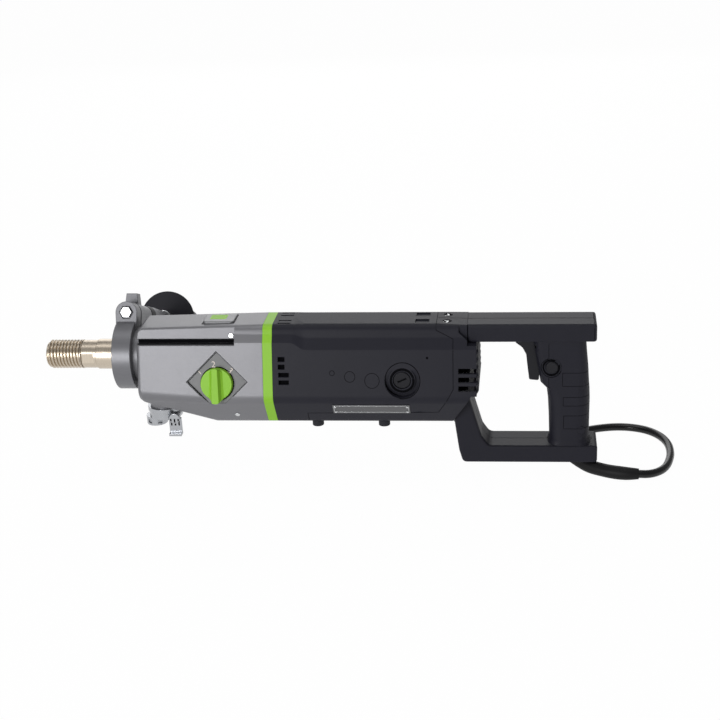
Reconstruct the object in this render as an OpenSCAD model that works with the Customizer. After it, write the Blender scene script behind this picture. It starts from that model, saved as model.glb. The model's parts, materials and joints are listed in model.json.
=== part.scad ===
// Hand-held diamond core drill: a three-speed wet drill with a D-handle, a side handle
// on a clamp ring and a water inlet under the gear case.
// Frame: the spindle axis is X, with the thread towards -X, and +Z is up.
// The origin is on the spindle axis, at the root of the thread.

/* [Spindle] */
// Major diameter of the spindle thread
thread_d = 31.75; // [28:0.25:34]
// Length of the thread
thread_l = 38.8; // [30:0.2:50]
// Chamfer on the end of the thread
thread_chamfer = 2.8; // [1:0.1:4]
// Bore of the inner thread at the mouth
mouth_d = 18.6; // [14:0.1:20]
// Depth of the inner thread
mouth_l = 20; // [12:0.5:30]
// Bore that carries the water to the core bit
water_bore_d = 12; // [8:0.5:13]
// Diameter of the wrench land behind the thread
land_d = 31; // [29:0.1:32]
// Length of the wrench land
land_l = 17.3; // [12:0.1:20]
// Distance across the two wrench flats
land_flats = 28.6; // [26:0.1:29.5]
// Diameter of the collar in front of the neck
collar_d = 33.2; // [32:0.1:34]
// Distance across the two release lugs on that collar
lug_span = 40; // [36:0.5:46]
// Width of a release lug along the spindle
lug_w = 9; // [6:0.5:10]
// Diameter of the spindle between its bearings
core_d = 24; // [20:0.5:26]

/* [Neck and clamp] */
// Distance from the root of the thread to the neck
neck_x = 40; // [38:0.5:46]
// Diameter of the clamping neck
neck_d = 60; // [58:0.5:64]
// Bore of the neck behind the front bearing
neck_bore_d = 47; // [44:0.5:50]
// Gap between the neck's front face and the clamp ring
clamp_gap = 2; // [1.5:0.5:6]
// Width of the clamp ring
clamp_w = 20.5; // [14:0.5:22]
// Outer diameter of the clamp ring
clamp_d = 77; // [72:0.5:84]
// Radial running clearance of the clamp ring on the neck
clamp_clear = 0.05; // [0.02:0.01:0.1]
// Turn of the clamp ring away from upright, in degrees
clamp_tilt = 22.6; // [0:0.2:45]
// Distance from the tool's axis to the axis of the clamp bolt
bolt_r = 45.1; // [44:0.1:48]
// Radius of the two ears round the bolt
ear_r = 12; // [10.4:0.1:12.4]
// Slot between the two ears
ear_slot = 3; // [2.5:0.5:8]
// Thickness of each ear along the bolt
ear_t = 15.5; // [12:0.5:18]
// Diameter of the clamp bolt
bolt_d = 10; // [8:0.5:11]
// Height that the wing of the far ear stands above the bolt
wing_h = 22; // [18:0.5:26]

/* [Side handle] */
// Diameter of the stem tube
stem_d = 20; // [18:0.5:22]
// Distance from the far ear to the hand guard
stem_l = 134; // [90:0.5:150]
// Length of the narrow end of the stem
stem_end_l = 36; // [25:0.5:40]
// Diameter of the narrow end of the stem
stem_end_d = 16; // [14:0.5:19]
// Diameter of the hand guard
guard_d = 66; // [56:1:72]
// Thickness of the hand guard
guard_t = 5; // [3:0.5:8]
// Length of the side grip
side_grip_l = 104; // [95:1:140]
// Largest diameter of the side grip
side_grip_d = 35; // [30:0.5:40]

/* [Body section] */
// Half width of the flat top
top_half = 22.5; // [20:0.5:25]
// Height of the motor housing's top above the spindle axis
top_z = 41.5; // [40:0.5:44]
// Half width at the shoulder
shoulder_half = 33; // [31:0.5:35]
// Height of the shoulder above the spindle axis
shoulder_z = 17; // [14:0.5:20]
// Height of the shoulder at the front, before its edge swings down
shoulder_front_z = 24.5; // [22:0.5:27]
// Distance from the middle plane to the hollow between top and shoulder
waist_half = 26; // [25:0.1:27.5]
// Half width at the belly
belly_half = 47.5; // [46:0.5:51]
// Depth of the belly below the spindle axis
belly_z = 36; // [33:0.5:40]
// Half width of the flat bottom
keel_half = 27; // [25:0.5:30]
// Depth of the flat bottom below the spindle axis
keel_z = 70; // [68:0.5:74]

/* [Gear case] */
// Distance from the root of the thread to the gear case
case_x = 68.5; // [67:0.5:72]
// Length of the gear case
case_l = 138.5; // [134:0.5:144]
// Wall of the gear case
case_wall = 4; // [3:0.1:4.2]
// Height of the case's top at its front
case_front_top = 37.6; // [36:0.2:40]
// Depth of the case's bottom at its front
case_front_keel = 46; // [44:0.5:50]
// Length of the rising bottom at the front
case_rise_l = 81; // [70:1:90]
// Distance from the middle plane to the lower edge of each side facet
facet_half = 24.6; // [24:0.1:26]
// Height of the facets' lower edge above the spindle axis
facet_z = 27; // [25:0.5:29]
// Lean of the facets away from upright, in degrees
facet_lean = 13; // [8:0.5:16]
// Length of the facets
facet_l = 108; // [80:1:115]
// Height of the slot under each facet
slot_h = 5.3; // [3:0.1:6]
// Depth of the slot behind the facet
slot_depth = 1.6; // [0.5:0.1:1.8]
// Length of the green band behind the gear case
band_l = 10.3; // [8:0.1:14]
// Length of the badge on the top of the gear case
badge_l = 34; // [26:0.5:40]
// Width of the badge
badge_w = 26; // [20:0.5:32]
// Height that the badge stands up
badge_h = 2.2; // [1:0.1:3]

/* [Speed dial] */
// Distance of the knob behind the middle position of the shift collar
knob_lead = 6.3; // [4:0.1:8]
// Depth of the knob's centre below the spindle axis
knob_drop = 19; // [17:0.5:21]
// Lean of the dial, in degrees
dial_lean = 15; // [12:0.5:17]
// Distance of the dial's face from the spindle axis, at the knob
dial_y = 40; // [39:0.2:41]
// Side of the square dial plate
plate_side = 46; // [42:0.5:48]
// Diameter of the knob
knob_d = 35; // [30:0.5:38]
// Height of the knob's finger ridge over the dial plate
knob_h = 13; // [10:0.5:16]
// Turn of the knob from one speed to the next, in degrees
knob_step = 45; // [30:1:50]

/* [Gears] */
// Module of the motor stage
motor_module = 1; // [0.9:0.05:1]
// Module of the other gears
gear_module = 1.25; // [1.15:0.05:1.25]
// Teeth of the armature pinion
pinion_teeth = 10; // [9:1:11]
// Teeth of the idler gear that it drives
idler_teeth = 33; // [30:1:33]
// Teeth of the pinion on the idler shaft
idler_pinion_teeth = 13; // [12:1:14]
// Teeth of the layshaft's input gear
input_teeth = 26; // [24:1:27]
// Teeth of one layshaft gear and its spindle gear together
pair_teeth = 60; // [58:2:60]
// Teeth of the layshaft gear for speed 1
first_teeth = 16; // [15:1:18]
// Teeth of the layshaft gear for speed 2
second_teeth = 23; // [20:1:26]
// Teeth of the layshaft gear for speed 3
third_teeth = 31; // [29:1:32]
// Gap between one speed gear and the next
gear_gap = 2; // [1.5:0.1:2.5]
// Diameter of the layshaft
layshaft_d = 12; // [11:0.5:12.5]
// Diameter of the draw key's rod inside the layshaft
key_rod_d = 5; // [4:0.2:5.4]
// Diameter of the idler shaft
idler_d = 10; // [8:0.5:10]
// Radial running clearance of loose gears, bushes and sliders
run_clear = 0.05; // [0.02:0.01:0.1]

/* [Motor] */
// Depth of the motor's axis below the spindle axis
motor_drop = 15; // [14:0.5:17]
// Length of the motor housing on top, from the band to the rear cap
motor_l = 176.5; // [170:0.5:190]
// Wall of the plastic housings
wall = 3.4; // [2.5:0.1:3.6]
// Diameter of the armature shaft
armature_shaft_d = 12; // [10:0.5:12]
// Diameter of the armature's iron core
armature_d = 44; // [40:0.5:46]
// Length of the armature's and the stator's iron core
core_l = 70; // [60:1:76]
// Air gap between armature and stator
air_gap = 0.6; // [0.4:0.1:1]
// Outer diameter of the stator
stator_d = 72; // [66:0.5:73]
// Diameter of the cooling fan
fan_d = 68; // [60:0.5:70]
// Diameter of the commutator
commutator_d = 30; // [26:0.5:32]
// Distance of the brushes in front of the rear motor bearing
brush_setback = 26.3; // [24:0.1:29]
// Width of a carbon brush
brush_w = 8; // [6:0.5:9]
// Distance of the front feet behind the green band
feet_front = 43; // [38:0.5:48]
// Distance from the front feet to the rear feet
feet_pitch = 73.4; // [65:0.2:80]
// Diameter of a brush cap
brush_cap_d = 18; // [16:0.5:20]
// Diameter of the ring round a brush cap
brush_ring_d = 29; // [26:0.5:31]

/* [Rear cap] */
// Length of the rear cap on top, from its seam to the ribbed rear face
cap_l = 43; // [40:0.5:46]
// Distance that the cap's side seam lies behind its top seam
cap_step = 21; // [16:0.5:24]
// Height of the cap's rear face above the spindle axis
cap_rear_top = 28; // [26:0.5:30]
// Width of the side vents
vent_w = 5.6; // [4:0.2:6.4]

/* [D-handle] */
// Distance from the root of the thread to the rear of the handle
handle_x = 567; // [560:1:580]
// Width of the handle
handle_w = 43; // [38:0.5:46]
// Height of the handle's top above the spindle axis
handle_top = 40.6; // [39:0.2:41.4]
// Distance that the upper bar ends in front of the lower bar
upper_setback = 2.5; // [0:0.5:5]
// Height of the upper bar
upper_bar_h = 20.2; // [18:0.2:22]
// Depth of the handle's bottom below the spindle axis
handle_bottom = 122; // [116:0.5:128]
// Height of the lower bar
lower_bar_h = 20.2; // [18:0.2:22]
// Rounding of the handle's long edges
edge_r = 3; // [1.5:0.5:4]
// Wall of the handle shells
shell_wall = 3; // [2.4:0.1:3.4]
// Distance of the grip's rear side from the handle's rear
grip_setback = 9; // [7:0.5:14]
// Length of the grip along the tool's axis, at its foot
grip_depth = 43.5; // [38:0.5:46]
// Width of the grip
grip_w = 37; // [32:0.5:42]
// Distance of the lock-on button in front of the grip's rear side
lock_setback = 41; // [38:0.5:44]
// Diameter of the lock-on button
lock_d = 13.4; // [10:0.2:15]
// Travel of the lock-on button
lock_travel = 3.5; // [2:0.1:4]
// Width of the trigger
trigger_w = 16; // [12:0.5:20]
// Full travel of the trigger, in degrees
trigger_travel = 9; // [5:0.5:10]

/* [Water inlet] */
// Distance of the water inlet behind the front of the gear case
inlet_setback = 16.9; // [15:0.1:18]
// Diameter of the boss under the gear case
boss_d = 33; // [30:0.5:36]
// Depth of the boss's end below the spindle axis
boss_z = 60; // [58:0.5:63]
// Outer diameter of the valve body
valve_d = 38.8; // [34:0.2:40]
// Height of the valve body
valve_h = 13; // [11:0.5:16]
// Distance of the hose socket in front of the valve's middle
socket_lead = 11.2; // [6:0.1:13]
// Outer diameter of the hose socket
socket_d = 23; // [19:0.5:25]
// Bore of the hose socket
socket_bore = 13; // [10:0.2:15]
// Length of the hose socket
socket_l = 9.5; // [8:0.5:13]
// Length of the valve lever
lever_l = 20; // [16:0.5:24]
// Width of the valve lever
lever_w = 14; // [12:0.5:16]

/* [Power cord] */
// Diameter of the cord
cord_d = 9; // [8:0.1:9.2]
// Gap from one turn of the coil to the next
coil_gap = 0.45; // [0.42:0.01:0.6]
// Outer radius of the coil, to the middle of the cord
coil_r = 63; // [60:0.5:66]
// Diameter of the rubber sleeve where the cord leaves the handle
sleeve_d = 15; // [13:0.5:16]

/* [Hidden] */

// Section of the body
corner_r = 8;
waist_r = 9;
shoulder_r = 1.2;
belly_r = 14;
shoulder_swing = [20, 24, 28, 32, 36];
slope_angle = atan2(keel_z - belly_z, belly_half - keel_half);
side_angle = atan2(belly_half - shoulder_half, belly_z + shoulder_z);

// Stations along the tool's axis
neck_l = case_x - neck_x;
clamp_x = neck_x + clamp_gap;
front_race_d = 55;
front_race_l = 10;
front_seal_l = 6.5;
front_race_x = neck_x + front_seal_l;
seat_d = 35;
seal_l = 7;
boss_wall = 8;
inlet_x = case_x + inlet_setback;
boss_end = inlet_x + 13.8;
post_end = boss_end + 5;
gallery_x0 = front_race_x + front_race_l + 2.5;
gallery_x1 = boss_end - seal_l - 1;
first_gear_x = post_end + 2;
gear_pitch = case_l / 13.85;
gear_w = gear_pitch - gear_gap;
plate_t = 8;
case_end = case_x + case_l;
flange_x = case_end - 1;
collar_x = first_gear_x + 4 * gear_pitch + 4;
knob_x = collar_x + knob_lead;
// The faces of the idler's two gears share the room that the shift collar leaves
stage_room = flange_x - collar_x - gear_pitch - 5 - plate_t - 6;
stage_w = stage_room * 0.26;
idler_gear_x = flange_x - 2 - stage_w;
idler_pinion_x = idler_gear_x - 2 - stage_w;
plate_x = idler_pinion_x - 2 - plate_t;
band_x = case_end;
motor_x = band_x + band_l;
flange_end = motor_x + 3.5;
seam_x = motor_x + motor_l;
side_seam_x = seam_x + cap_step - 3;
cap_rear_x = seam_x + cap_l;
bracket_x = seam_x - 10.5;
bracket_t = 10;
brush_x = bracket_x - brush_setback;
fan_x = flange_end + 4;
fan_l = 17;
core_x = fan_x + fan_l + 13;
tray_x = motor_x + 35;
tray_z = 55.6;

// Gear axes
motor_z = -motor_drop;
lay_z = -gear_module * pair_teeth / 2;
stage1_a = motor_module * (pinion_teeth + idler_teeth) / 2;
stage2_a = gear_module * (idler_pinion_teeth + input_teeth) / 2;
stage_d = motor_z - lay_z;
idler_t = (stage1_a * stage1_a - stage2_a * stage2_a + stage_d * stage_d) / (2 * stage_d);
idler_y = sqrt(stage1_a * stage1_a - idler_t * idler_t);
idler_z = motor_z - idler_t;
pressure_angle = 20;
tooth_play = 0.05;

// Bearings, as bore, outside diameter, width
lay_front_race = [10, 22, 6];
lay_rear_race = [8, 19, 6];
armature_race = [12, 24, 8];
armature_rear_race = [10, 26, 8];
spindle_rear_race = [20, 42, plate_t];
bush_d = 16;

// Speed shift
dial_recess = 2;
pin_d = 5;
pin_r = gear_pitch / sin(knob_step);
collar_w = 8;
fork_arm_y = -27;
fork_arm_w = 9;
collar_od = 24;
collar_groove_d = 18;
fork_rod_y = -20;
fork_rod_z = -52;
fork_rod_d = 6;
pin_tip_y = -18.5;

// Side handle, measured along its bolt
ear_end = ear_slot / 2 + ear_t;
guard_at = ear_end + stem_l;
grip_at = guard_at + guard_t;
grip_end_at = grip_at + side_grip_l;
head_af = 11;
head_h = 5;

// D-handle
bar_x = cap_rear_x - 10;
upper_end = handle_x - upper_setback;
bar_under = handle_top - upper_bar_h;
lower_top = handle_bottom - lower_bar_h;
grip_rear = handle_x - grip_setback;
grip_foot = grip_rear - grip_depth;
grip_top_front = grip_rear - 61;
trigger_x = grip_top_front - 20;
pivot_x = trigger_x + 23.5;
pivot_z = bar_under - 6.5;
lock_x = grip_rear - lock_setback;
lock_z = -9.2;
feet_x = [motor_x + feet_front, motor_x + feet_front + feet_pitch];
foot_y = 19;
foot_d = 12.6;
foot_h = 6.5;
valve_top = boss_z;
socket_x = inlet_x - socket_lead;

// Power cord, from the sleeve to the coil
coil_x = 300;
coil_y = 214;
floor_z = -137.5;
tie_t = 1;
coil_z = floor_z + tie_t + cord_d / 2;
coil_pitch = cord_d + coil_gap;
coil_layers = 4;
coil_turns = 2.575;
coil_total = coil_layers * coil_turns;
coil_tail = coil_point(coil_total) + cord_d * [-sin(360 * coil_total), cos(360 * coil_total), 0];
sleeve_route = [
    [518, 6, -113], [529, 3, -117.5], [540, -1, -122.5], [550, -7, -127], [560, -14, -129.6],
    [572, -21, -130], [584, -26.5, -130], [598, -30, -130], [612, -31, -130]
];
cord_route = [
    [612, -31, -130], [623, -29, -131], [634, -21, -132.2], [643, -8, -133],
    [649, 10, -133], [652, 30, -133], [651, 52, -133], [644, 72, -133],
    [631, 87, -133], [614, 95, -133], [596, 97, -133], [578, 94, -133],
    [558, 87, -133], [538, 79, -133], [518, 72, -133], [496, 67, -133],
    [474, 65, -133], [454, 69, -133], [437, 79, -133], [421, 97, -133],
    [407, 117, -133], [394, 138, -133], [382, 158, -133], [371.5, 179, -132.8],
    [365.4, 193, -132.4], [363.3, 200, -132.1], [363, 205, -132]
];
tail_route = concat([coil_tail], [
    [254, 264, -105.5], [237, 257.5, -110], [220, 250.5, -115], [204, 243.5, -118],
    [194, 239.5, floor_z + 19]
]);
plug_d = 38;
plug_l = 52;
tail_end = tail_route[len(tail_route) - 1];
tie_w = 10;
tie_gap = 0.5;
tie_turn = 215;

// Smaller values of single pieces
plate_offset = 2;
pad_t = 8;
pad_edge = 7;
knob_shaft_d = 10;
pin_depth = 26;
inlet_bore = 10;
facet_screw_z = facet_z + 3.5;
gear_room_d = gear_module * (pair_teeth - first_teeth + 2) + 1.6;
badge_floor = case_front_top + 1.6;
band_t = 5;
bush_l = 7;
brush_floor = 38.5;
commutator_l = 26;
holder_d = 16;
foot_screw_d = 5;
screw_d = 3.4;
screw_head_d = 7;
screw_head_h = 3;
rating_l = 84;
rating_w = 15;
plate_mid_x = motor_x + 105.3;
plate_mid_z = 48.5;
nut_l = 18;
nut_d = 18;
lever_x = inlet_x + 14.6;
lever_y = 17.5;
lever_z = -69;
key_pin_d = 3;
lock_l = grip_w / 2 + 1.2 - trigger_w / 2 - lock_travel - 0.3;
trigger_pin_d = 4;
speed_teeth = [first_teeth, second_teeth, third_teeth];
motor_angle = atan2(idler_z - motor_z, idler_y);
mesh_angle = atan2(lay_z - idler_z, -idler_y);
// Side vents of the motor housing as [front, rear, low, high], from the band
side_vents = [[6.2, 13.6, 4.6, 9.8], [6.2, 13.5, -3.4, 1.8], [6.5, 17.9, -11.5, -6.7], [6.6, 17.8, -19.4, -14.6]];
// Screws of the gear case as [place, turn, diameter, depth, height]
case_screws = [
    [[case_x + facet_l - 4, -facet_at(facet_screw_z), facet_screw_z], [90 - facet_lean, 0, 0], 5.5, 2, 1.2],
    [[case_x + facet_l - 4, facet_at(facet_screw_z), facet_screw_z], [facet_lean - 90, 0, 0], 5.5, 2, 1.2],
    [[case_x + 106, -33.5, -57.5], [180 - slope_angle, 0, 0], 5.5, 5, 1.6],
    [[case_x + 106, 33.5, -57.5], [slope_angle - 180, 0, 0], 5.5, 5, 1.6]
];

// Distance of a side facet from the middle plane at height z
function facet_at(z) = facet_half - (z - facet_z) * tan(facet_lean);
function unit(v) = v / norm(v);
function left_of(v) = [-v[1], v[0]];
function flat(v) = [v[0], v[1]];
function mix(a, b, t) = a + (b - a) * t;
function clamp01(t) = max(0, min(1, t));
function at_z(P, z) = [for (p = P) [p[0], p[1], z]];

// The polygon P of [x, y, corner radius] moved inwards by d; it runs anticlockwise
function inset(P, d) = [
    for (i = [0:len(P) - 1])
    let (n = len(P), b = P[i], e1 = unit(flat(b - P[(i + n - 1) % n])),
         e2 = unit(flat(P[(i + 1) % n] - b)), n1 = left_of(e1), n2 = left_of(e2),
         m = (n1 + n2) / (1 + n1 * n2), out = cross(e1, e2) > 0)
    [b[0] + d * m[0], b[1] + d * m[1], out ? max(b[2] - d, 0.2) : b[2] + d]
];

// The same kind of polygon with its corners rounded, n steps to a corner
function rounded(P, n = 5) = [
    for (i = [0:len(P) - 1])
    let (k = len(P), b = P[i], e1 = unit(flat(b - P[(i + k - 1) % k])),
         e2 = unit(flat(P[(i + 1) % k] - b)), n1 = left_of(e1), n2 = left_of(e2),
         m = (n1 + n2) / (1 + n1 * n2), turn = asin(max(-1, min(1, cross(e1, e2)))),
         full = e1 * e2 < 0 ? sign(turn) * (180 - abs(turn)) : turn, s = sign(full) * b[2],
         c = flat(b) + m * s)
    for (j = [0:n])
    let (a = full * j / n)
    c - s * [cos(a) * n1[0] - sin(a) * n1[1], sin(a) * n1[0] + cos(a) * n1[1]]
];

// A closed body through rings of equally many points, each anticlockwise from above
module skin(rings) {
    n = len(rings[0]);
    last = len(rings) - 1;
    polyhedron(
        points = [for (ring = rings) for (p = ring) p],
        faces = concat(
            [[for (j = [0:n - 1]) j]],
            [[for (j = [n - 1:-1:0]) last * n + j]],
            [for (i = [0:last - 1]) for (j = [0:n - 1]) let (k = (j + 1) % n)
                [i * n + j, (i + 1) * n + j, (i + 1) * n + k]],
            [for (i = [0:last - 1]) for (j = [0:n - 1]) let (k = (j + 1) % n)
                [i * n + j, (i + 1) * n + k, i * n + k]]),
        convexity = 8);
}

// Local z along the tool, local x across it and local y up
module axial(x = 0, y = 0, z = 0) translate([x, y, z]) rotate([90, 0, 90]) children();
// Local z towards the near side, local x along the tool and local y up
module facing(y = 0) translate([0, -y, 0]) rotate([90, 0, 0]) children();
module rod(x, l, d, y = 0, z = 0) axial(x, y, z) cylinder(h = l, d = d);
module ring(x, l, d, bore, y = 0, z = 0)
    difference() {
        rod(x, l, d, y, z);
        rod(x - 1, l + 2, bore, y, z);
    }
module both_sides() {
    children();
    mirror([0, 1, 0]) children();
}

// Section of the body at height top and depth keel, with its shoulder at height z, moved inwards by d
function shoulder_at(z) = shoulder_half - (z - shoulder_z) * tan(side_angle);
function body_section(top, keel, z, d) = rounded(inset([
    [-top_half, top, corner_r], [-waist_half, mix(z, top_z, 0.47), waist_r],
    [-shoulder_at(z), z, shoulder_r], [-belly_half, -belly_z, belly_r],
    [-keel_half, -keel, corner_r], [keel_half, -keel, corner_r],
    [belly_half, -belly_z, belly_r], [shoulder_at(z), z, shoulder_r],
    [waist_half, mix(z, top_z, 0.47), waist_r], [top_half, top, corner_r]], d), 4);
module body_prism(x, l, d, z = shoulder_z)
    axial(x) linear_extrude(l) polygon(body_section(top_z, keel_z, z, d));
// The motor housing's skin, along which the shoulder's edge swings down
module housing_skin(x0, x1, d) axial() skin([
    at_z(body_section(top_z, keel_z, shoulder_front_z, d), x0),
    for (i = [0:len(shoulder_swing) - 1])
        let (t = i / (len(shoulder_swing) - 1), s = t * t * (3 - 2 * t))
        at_z(body_section(top_z, keel_z, mix(shoulder_front_z, shoulder_z, s), d),
            motor_x + shoulder_swing[i]),
    at_z(body_section(top_z, keel_z, shoulder_z, d), x1)]);

// Section of the gear case at x, whose bottom rises towards its front
function case_top(x) = mix(case_front_top, top_z, (x - case_x) / case_l);
function case_keel(x) = mix(case_front_keel, keel_z, clamp01((x - case_x) / case_rise_l));
function case_ring(x, d) = at_z(body_section(case_top(x), case_keel(x), shoulder_front_z, d), x);
module case_skin(d, xs, ds)
    axial() skin([for (i = [0:len(xs) - 1]) case_ring(xs[i], d + ds[i])]);

// Half of the angle that a tooth takes up at radius r, in degrees
function involute(a) = tan(a) * 180 / PI - a;
function half_tooth(m, z, r) =
    let (rp = m * z / 2, rb = rp * cos(pressure_angle))
    90 / z - tooth_play / rp * 180 / PI + involute(pressure_angle)
    - involute(acos(min(1, rb / max(r, rb))));
function polar(r, a) = [r * cos(a), r * sin(a)];
// Outline of a spur gear of module m and z teeth, with a tooth on the local x axis
function gear_outline(m, z) =
    let (rp = m * z / 2, rb = rp * cos(pressure_angle), rf = rp - 1.2 * m,
         ra = rp + 0.85 * m, low = max(rb, rf) + 0.05 * m,
         flank = [[rf, low], [low, low], [mix(low, rp, 0.6), 0], [mix(rp, ra, 0.4), 0], [ra, 0]])
    [for (i = [0:z - 1]) for (side = [-1, 1]) for (j = [0:4])
        let (f = flank[side < 0 ? j : 4 - j], r = f[0], a = half_tooth(m, z, max(f[1], r)))
        polar(r, 360 * i / z + side * a)];
module gear(x, w, m, z, turn, y = 0, zz = 0)
    axial(x, y, zz) rotate(turn) linear_extrude(w) polygon(gear_outline(m, z));
module races(x, race, y, z, ball_n, inner)
    if (inner)
        ring(x, race[2], mix(race[0], race[1], 0.32), race[0], y, z);
    else {
        ring(x, race[2], race[1], mix(race[0], race[1], 0.7), y, z);
        for (i = [0:ball_n - 1])
            axial(x + race[2] / 2, y, z) rotate(360 * i / ball_n)
            translate([mix(race[0], race[1], 0.51) / 2, 0, 0])
            sphere(d = (race[1] - race[0]) * 0.175, $fn = 24);
    }

// The dial's own frame: local z points out of the dial plate, local y up along it
module dial_at() translate([knob_x, -dial_y, -knob_drop]) rotate([90 - dial_lean, 0, 0]) children();
module dial_square(side, z, h)
    dial_at() translate([0, plate_offset, z]) rotate(45)
    translate([-side / 2, -side / 2, 0]) cube([side, side, h]);

module case_cavity() {
    rod(post_end, plate_x - post_end, gear_room_d);
    difference() {
    case_skin(case_wall, [case_x + boss_wall, case_x + case_rise_l, case_end + 1], [0, 0, 0]);
    rod(case_x, boss_end - case_x, neck_bore_d + 9);
    rod(case_x, post_end - case_x, lay_front_race[1] + 10, 0, lay_z);
    translate([inlet_x, 0, -boss_z]) cylinder(h = boss_z, d = inlet_bore + 14);
    dial_square(plate_side + pad_edge, -pad_t, pad_t);
    facet_backing(0);
    }
}
// What the side facets and the slots under them take off, moved inwards by d
module facet_cut(x, l, d) both_sides() axial(x) linear_extrude(l) polygon([
    [facet_at(50) - d, 50], [facet_half - d, facet_z], [facet_half - slot_depth - d, facet_z + d / 2],
    [facet_half - slot_depth - d, facet_z - slot_h - d], [60, facet_z - slot_h - d], [60, 50]]);
// Metal behind the facets
module facet_backing(d) facet_cut(case_x, facet_l + 3 + d, 3 + d);

module gear_case() color("#8a8c90") difference() {
    union() {
        case_skin(0, [case_x, case_x + 1.5, case_x + 5, case_x + case_rise_l, case_end],
            [5, 2, 0, 0, 0]);
        rod(neck_x, neck_l + 1, neck_d);
        translate([inlet_x, 0, -boss_z]) cylinder(h = boss_z - 25, d = boss_d);
    }
    case_cavity();
    rod(neck_x - 1, front_seal_l + front_race_l + 1, front_race_d);
    rod(neck_x, boss_end - neck_x + 1, neck_bore_d);
    rod(post_end - lay_front_race[2], lay_front_race[2] + 1, lay_front_race[1], 0, lay_z);
    translate([inlet_x, 0, -boss_z - 1]) cylinder(h = boss_z - 10, d = inlet_bore);
    dial_square(plate_side + 2 * run_clear, -dial_recess, 30);
    dial_at() translate([0, 0, -pad_t - 2]) cylinder(h = pad_t + 4, d = knob_shaft_d + 2 * run_clear);
    facet_cut(case_x - 1, facet_l + 1, 0);
    translate([knob_x - badge_l / 2, -badge_w / 2, badge_floor]) cube([badge_l, badge_w, 20]);
    for (p = case_screws) translate(p[0]) rotate(p[1]) translate([0, 0, -p[3]]) cylinder(h = 20, d = p[2] + 0.1);
}

module bearing_plate() color("#9a9ca0") difference() {
    case_skin(case_wall + 0.05, [plate_x, plate_x + plate_t], [0, 0]);
    rod(plate_x - 1, plate_t + 2, spindle_rear_race[1]);
    rod(plate_x - 1, plate_t + 2, layshaft_d + 3, 0, lay_z);
    rod(plate_x - 1, plate_t + 2, bush_d, idler_y, idler_z);
    rod(plate_x - 1, plate_t + 2, fork_rod_d, fork_rod_y, fork_rod_z);
    facet_backing(run_clear);
    dial_square(plate_side + pad_edge + 2 * run_clear, -pad_t - run_clear, 40);
}

module end_flange() color("#9a9ca0") difference() {
    union() {
        case_skin(case_wall + 0.05, [flange_x, case_end], [0, 0]);
        body_prism(case_end, band_l, band_t, shoulder_front_z);
        body_prism(motor_x, flange_end - motor_x, wall + 0.05, shoulder_front_z);
    }
    rod(flange_x - 1, lay_rear_race[2] + 1, lay_rear_race[1], 0, lay_z);
    rod(flange_x - 1, bush_l + 1, bush_d, idler_y, idler_z);
    rod(flange_x - 1, flange_end, armature_shaft_d + 2, 0, motor_z);
    rod(flange_end - armature_race[2], armature_race[2] + 1, armature_race[1], 0, motor_z);
}

module green_band() color("#8fc64a") difference() {
    body_prism(band_x, band_l, 0, shoulder_front_z);
    body_prism(band_x - 1, band_l + 2, band_t, shoulder_front_z);
}

// Seam between the motor housing and the rear cap, in the side view
seam = [
    [seam_x, top_z + 5], [seam_x, 36], [side_seam_x, 27], [side_seam_x, -24],
    [seam_x + 1, -tray_z + 1.6], [tray_x, -tray_z], [tray_x, -keel_z - 5]
];
// The cap's lower rear corner, cut off along this line
cap_cut = [[cap_rear_x - 28, -keel_z], [cap_rear_x - 6, -31.5]];
module slab(P) translate([0, 60, 0]) rotate([90, 0, 0]) linear_extrude(120) polygon(P);
module side_box(x0, x1, z0, z1, y0 = 24)
    both_sides() translate([x0, y0, z0]) cube([x1 - x0, 40, z1 - z0]);
module at_brush() both_sides() facing() translate([brush_x, motor_z, 0]) children();

module motor_housing() color("#35363b") difference() {
    union() {
        intersection() {
            difference() {
                housing_skin(motor_x, cap_rear_x, 0);
                housing_skin(motor_x - 1, cap_rear_x + 1, wall);
            }
            slab(concat([[motor_x - 1, -keel_z - 5], [motor_x - 1, top_z + 5]], seam));
        }
        difference() {
            body_prism(bracket_x, bracket_t, wall - 0.5);
            translate([bracket_x - 1, -60, -keel_z]) cube([bracket_t + 2, 120, keel_z - 48]);
        }
        intersection() {
            body_prism(brush_x - 25, 50, 1);
            at_brush() translate([0, 0, brush_floor - 4.5]) cylinder(h = 12, d = brush_ring_d + 12);
        }
    }
    rod(bracket_x - 1, bracket_t + 2, armature_rear_race[1], 0, motor_z);
    at_brush() {
        difference() {
            translate([0, 0, brush_floor]) cylinder(h = 20, d = brush_ring_d + 8);
            cylinder(h = 60, d = brush_ring_d);
        }
        translate([0, 0, brush_floor + 2.5]) cylinder(h = 20, d = brush_ring_d + 1);
        translate([0, 0, brush_floor]) cylinder(h = 20, d = brush_cap_d + 1.6);
        cylinder(h = 60, d = holder_d);
    }
    for (v = side_vents) side_box(motor_x + v[0], motor_x + v[1], v[2], v[3]);
    both_sides() for (y = [8, 16]) translate([motor_x + 5, y - 1.4, top_z - 10]) cube([14, 2.8, 20]);
    both_sides() translate([seam_x - 23, 4.5, top_z - 1.5]) cube([15, 11, 10]);
    for (x = [bracket_x], a = [40:50:340])
        axial(x - 1, 0, motor_z) rotate(a) translate([23, -4, 0]) cube([6, 8, bracket_t + 2]);
}

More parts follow.
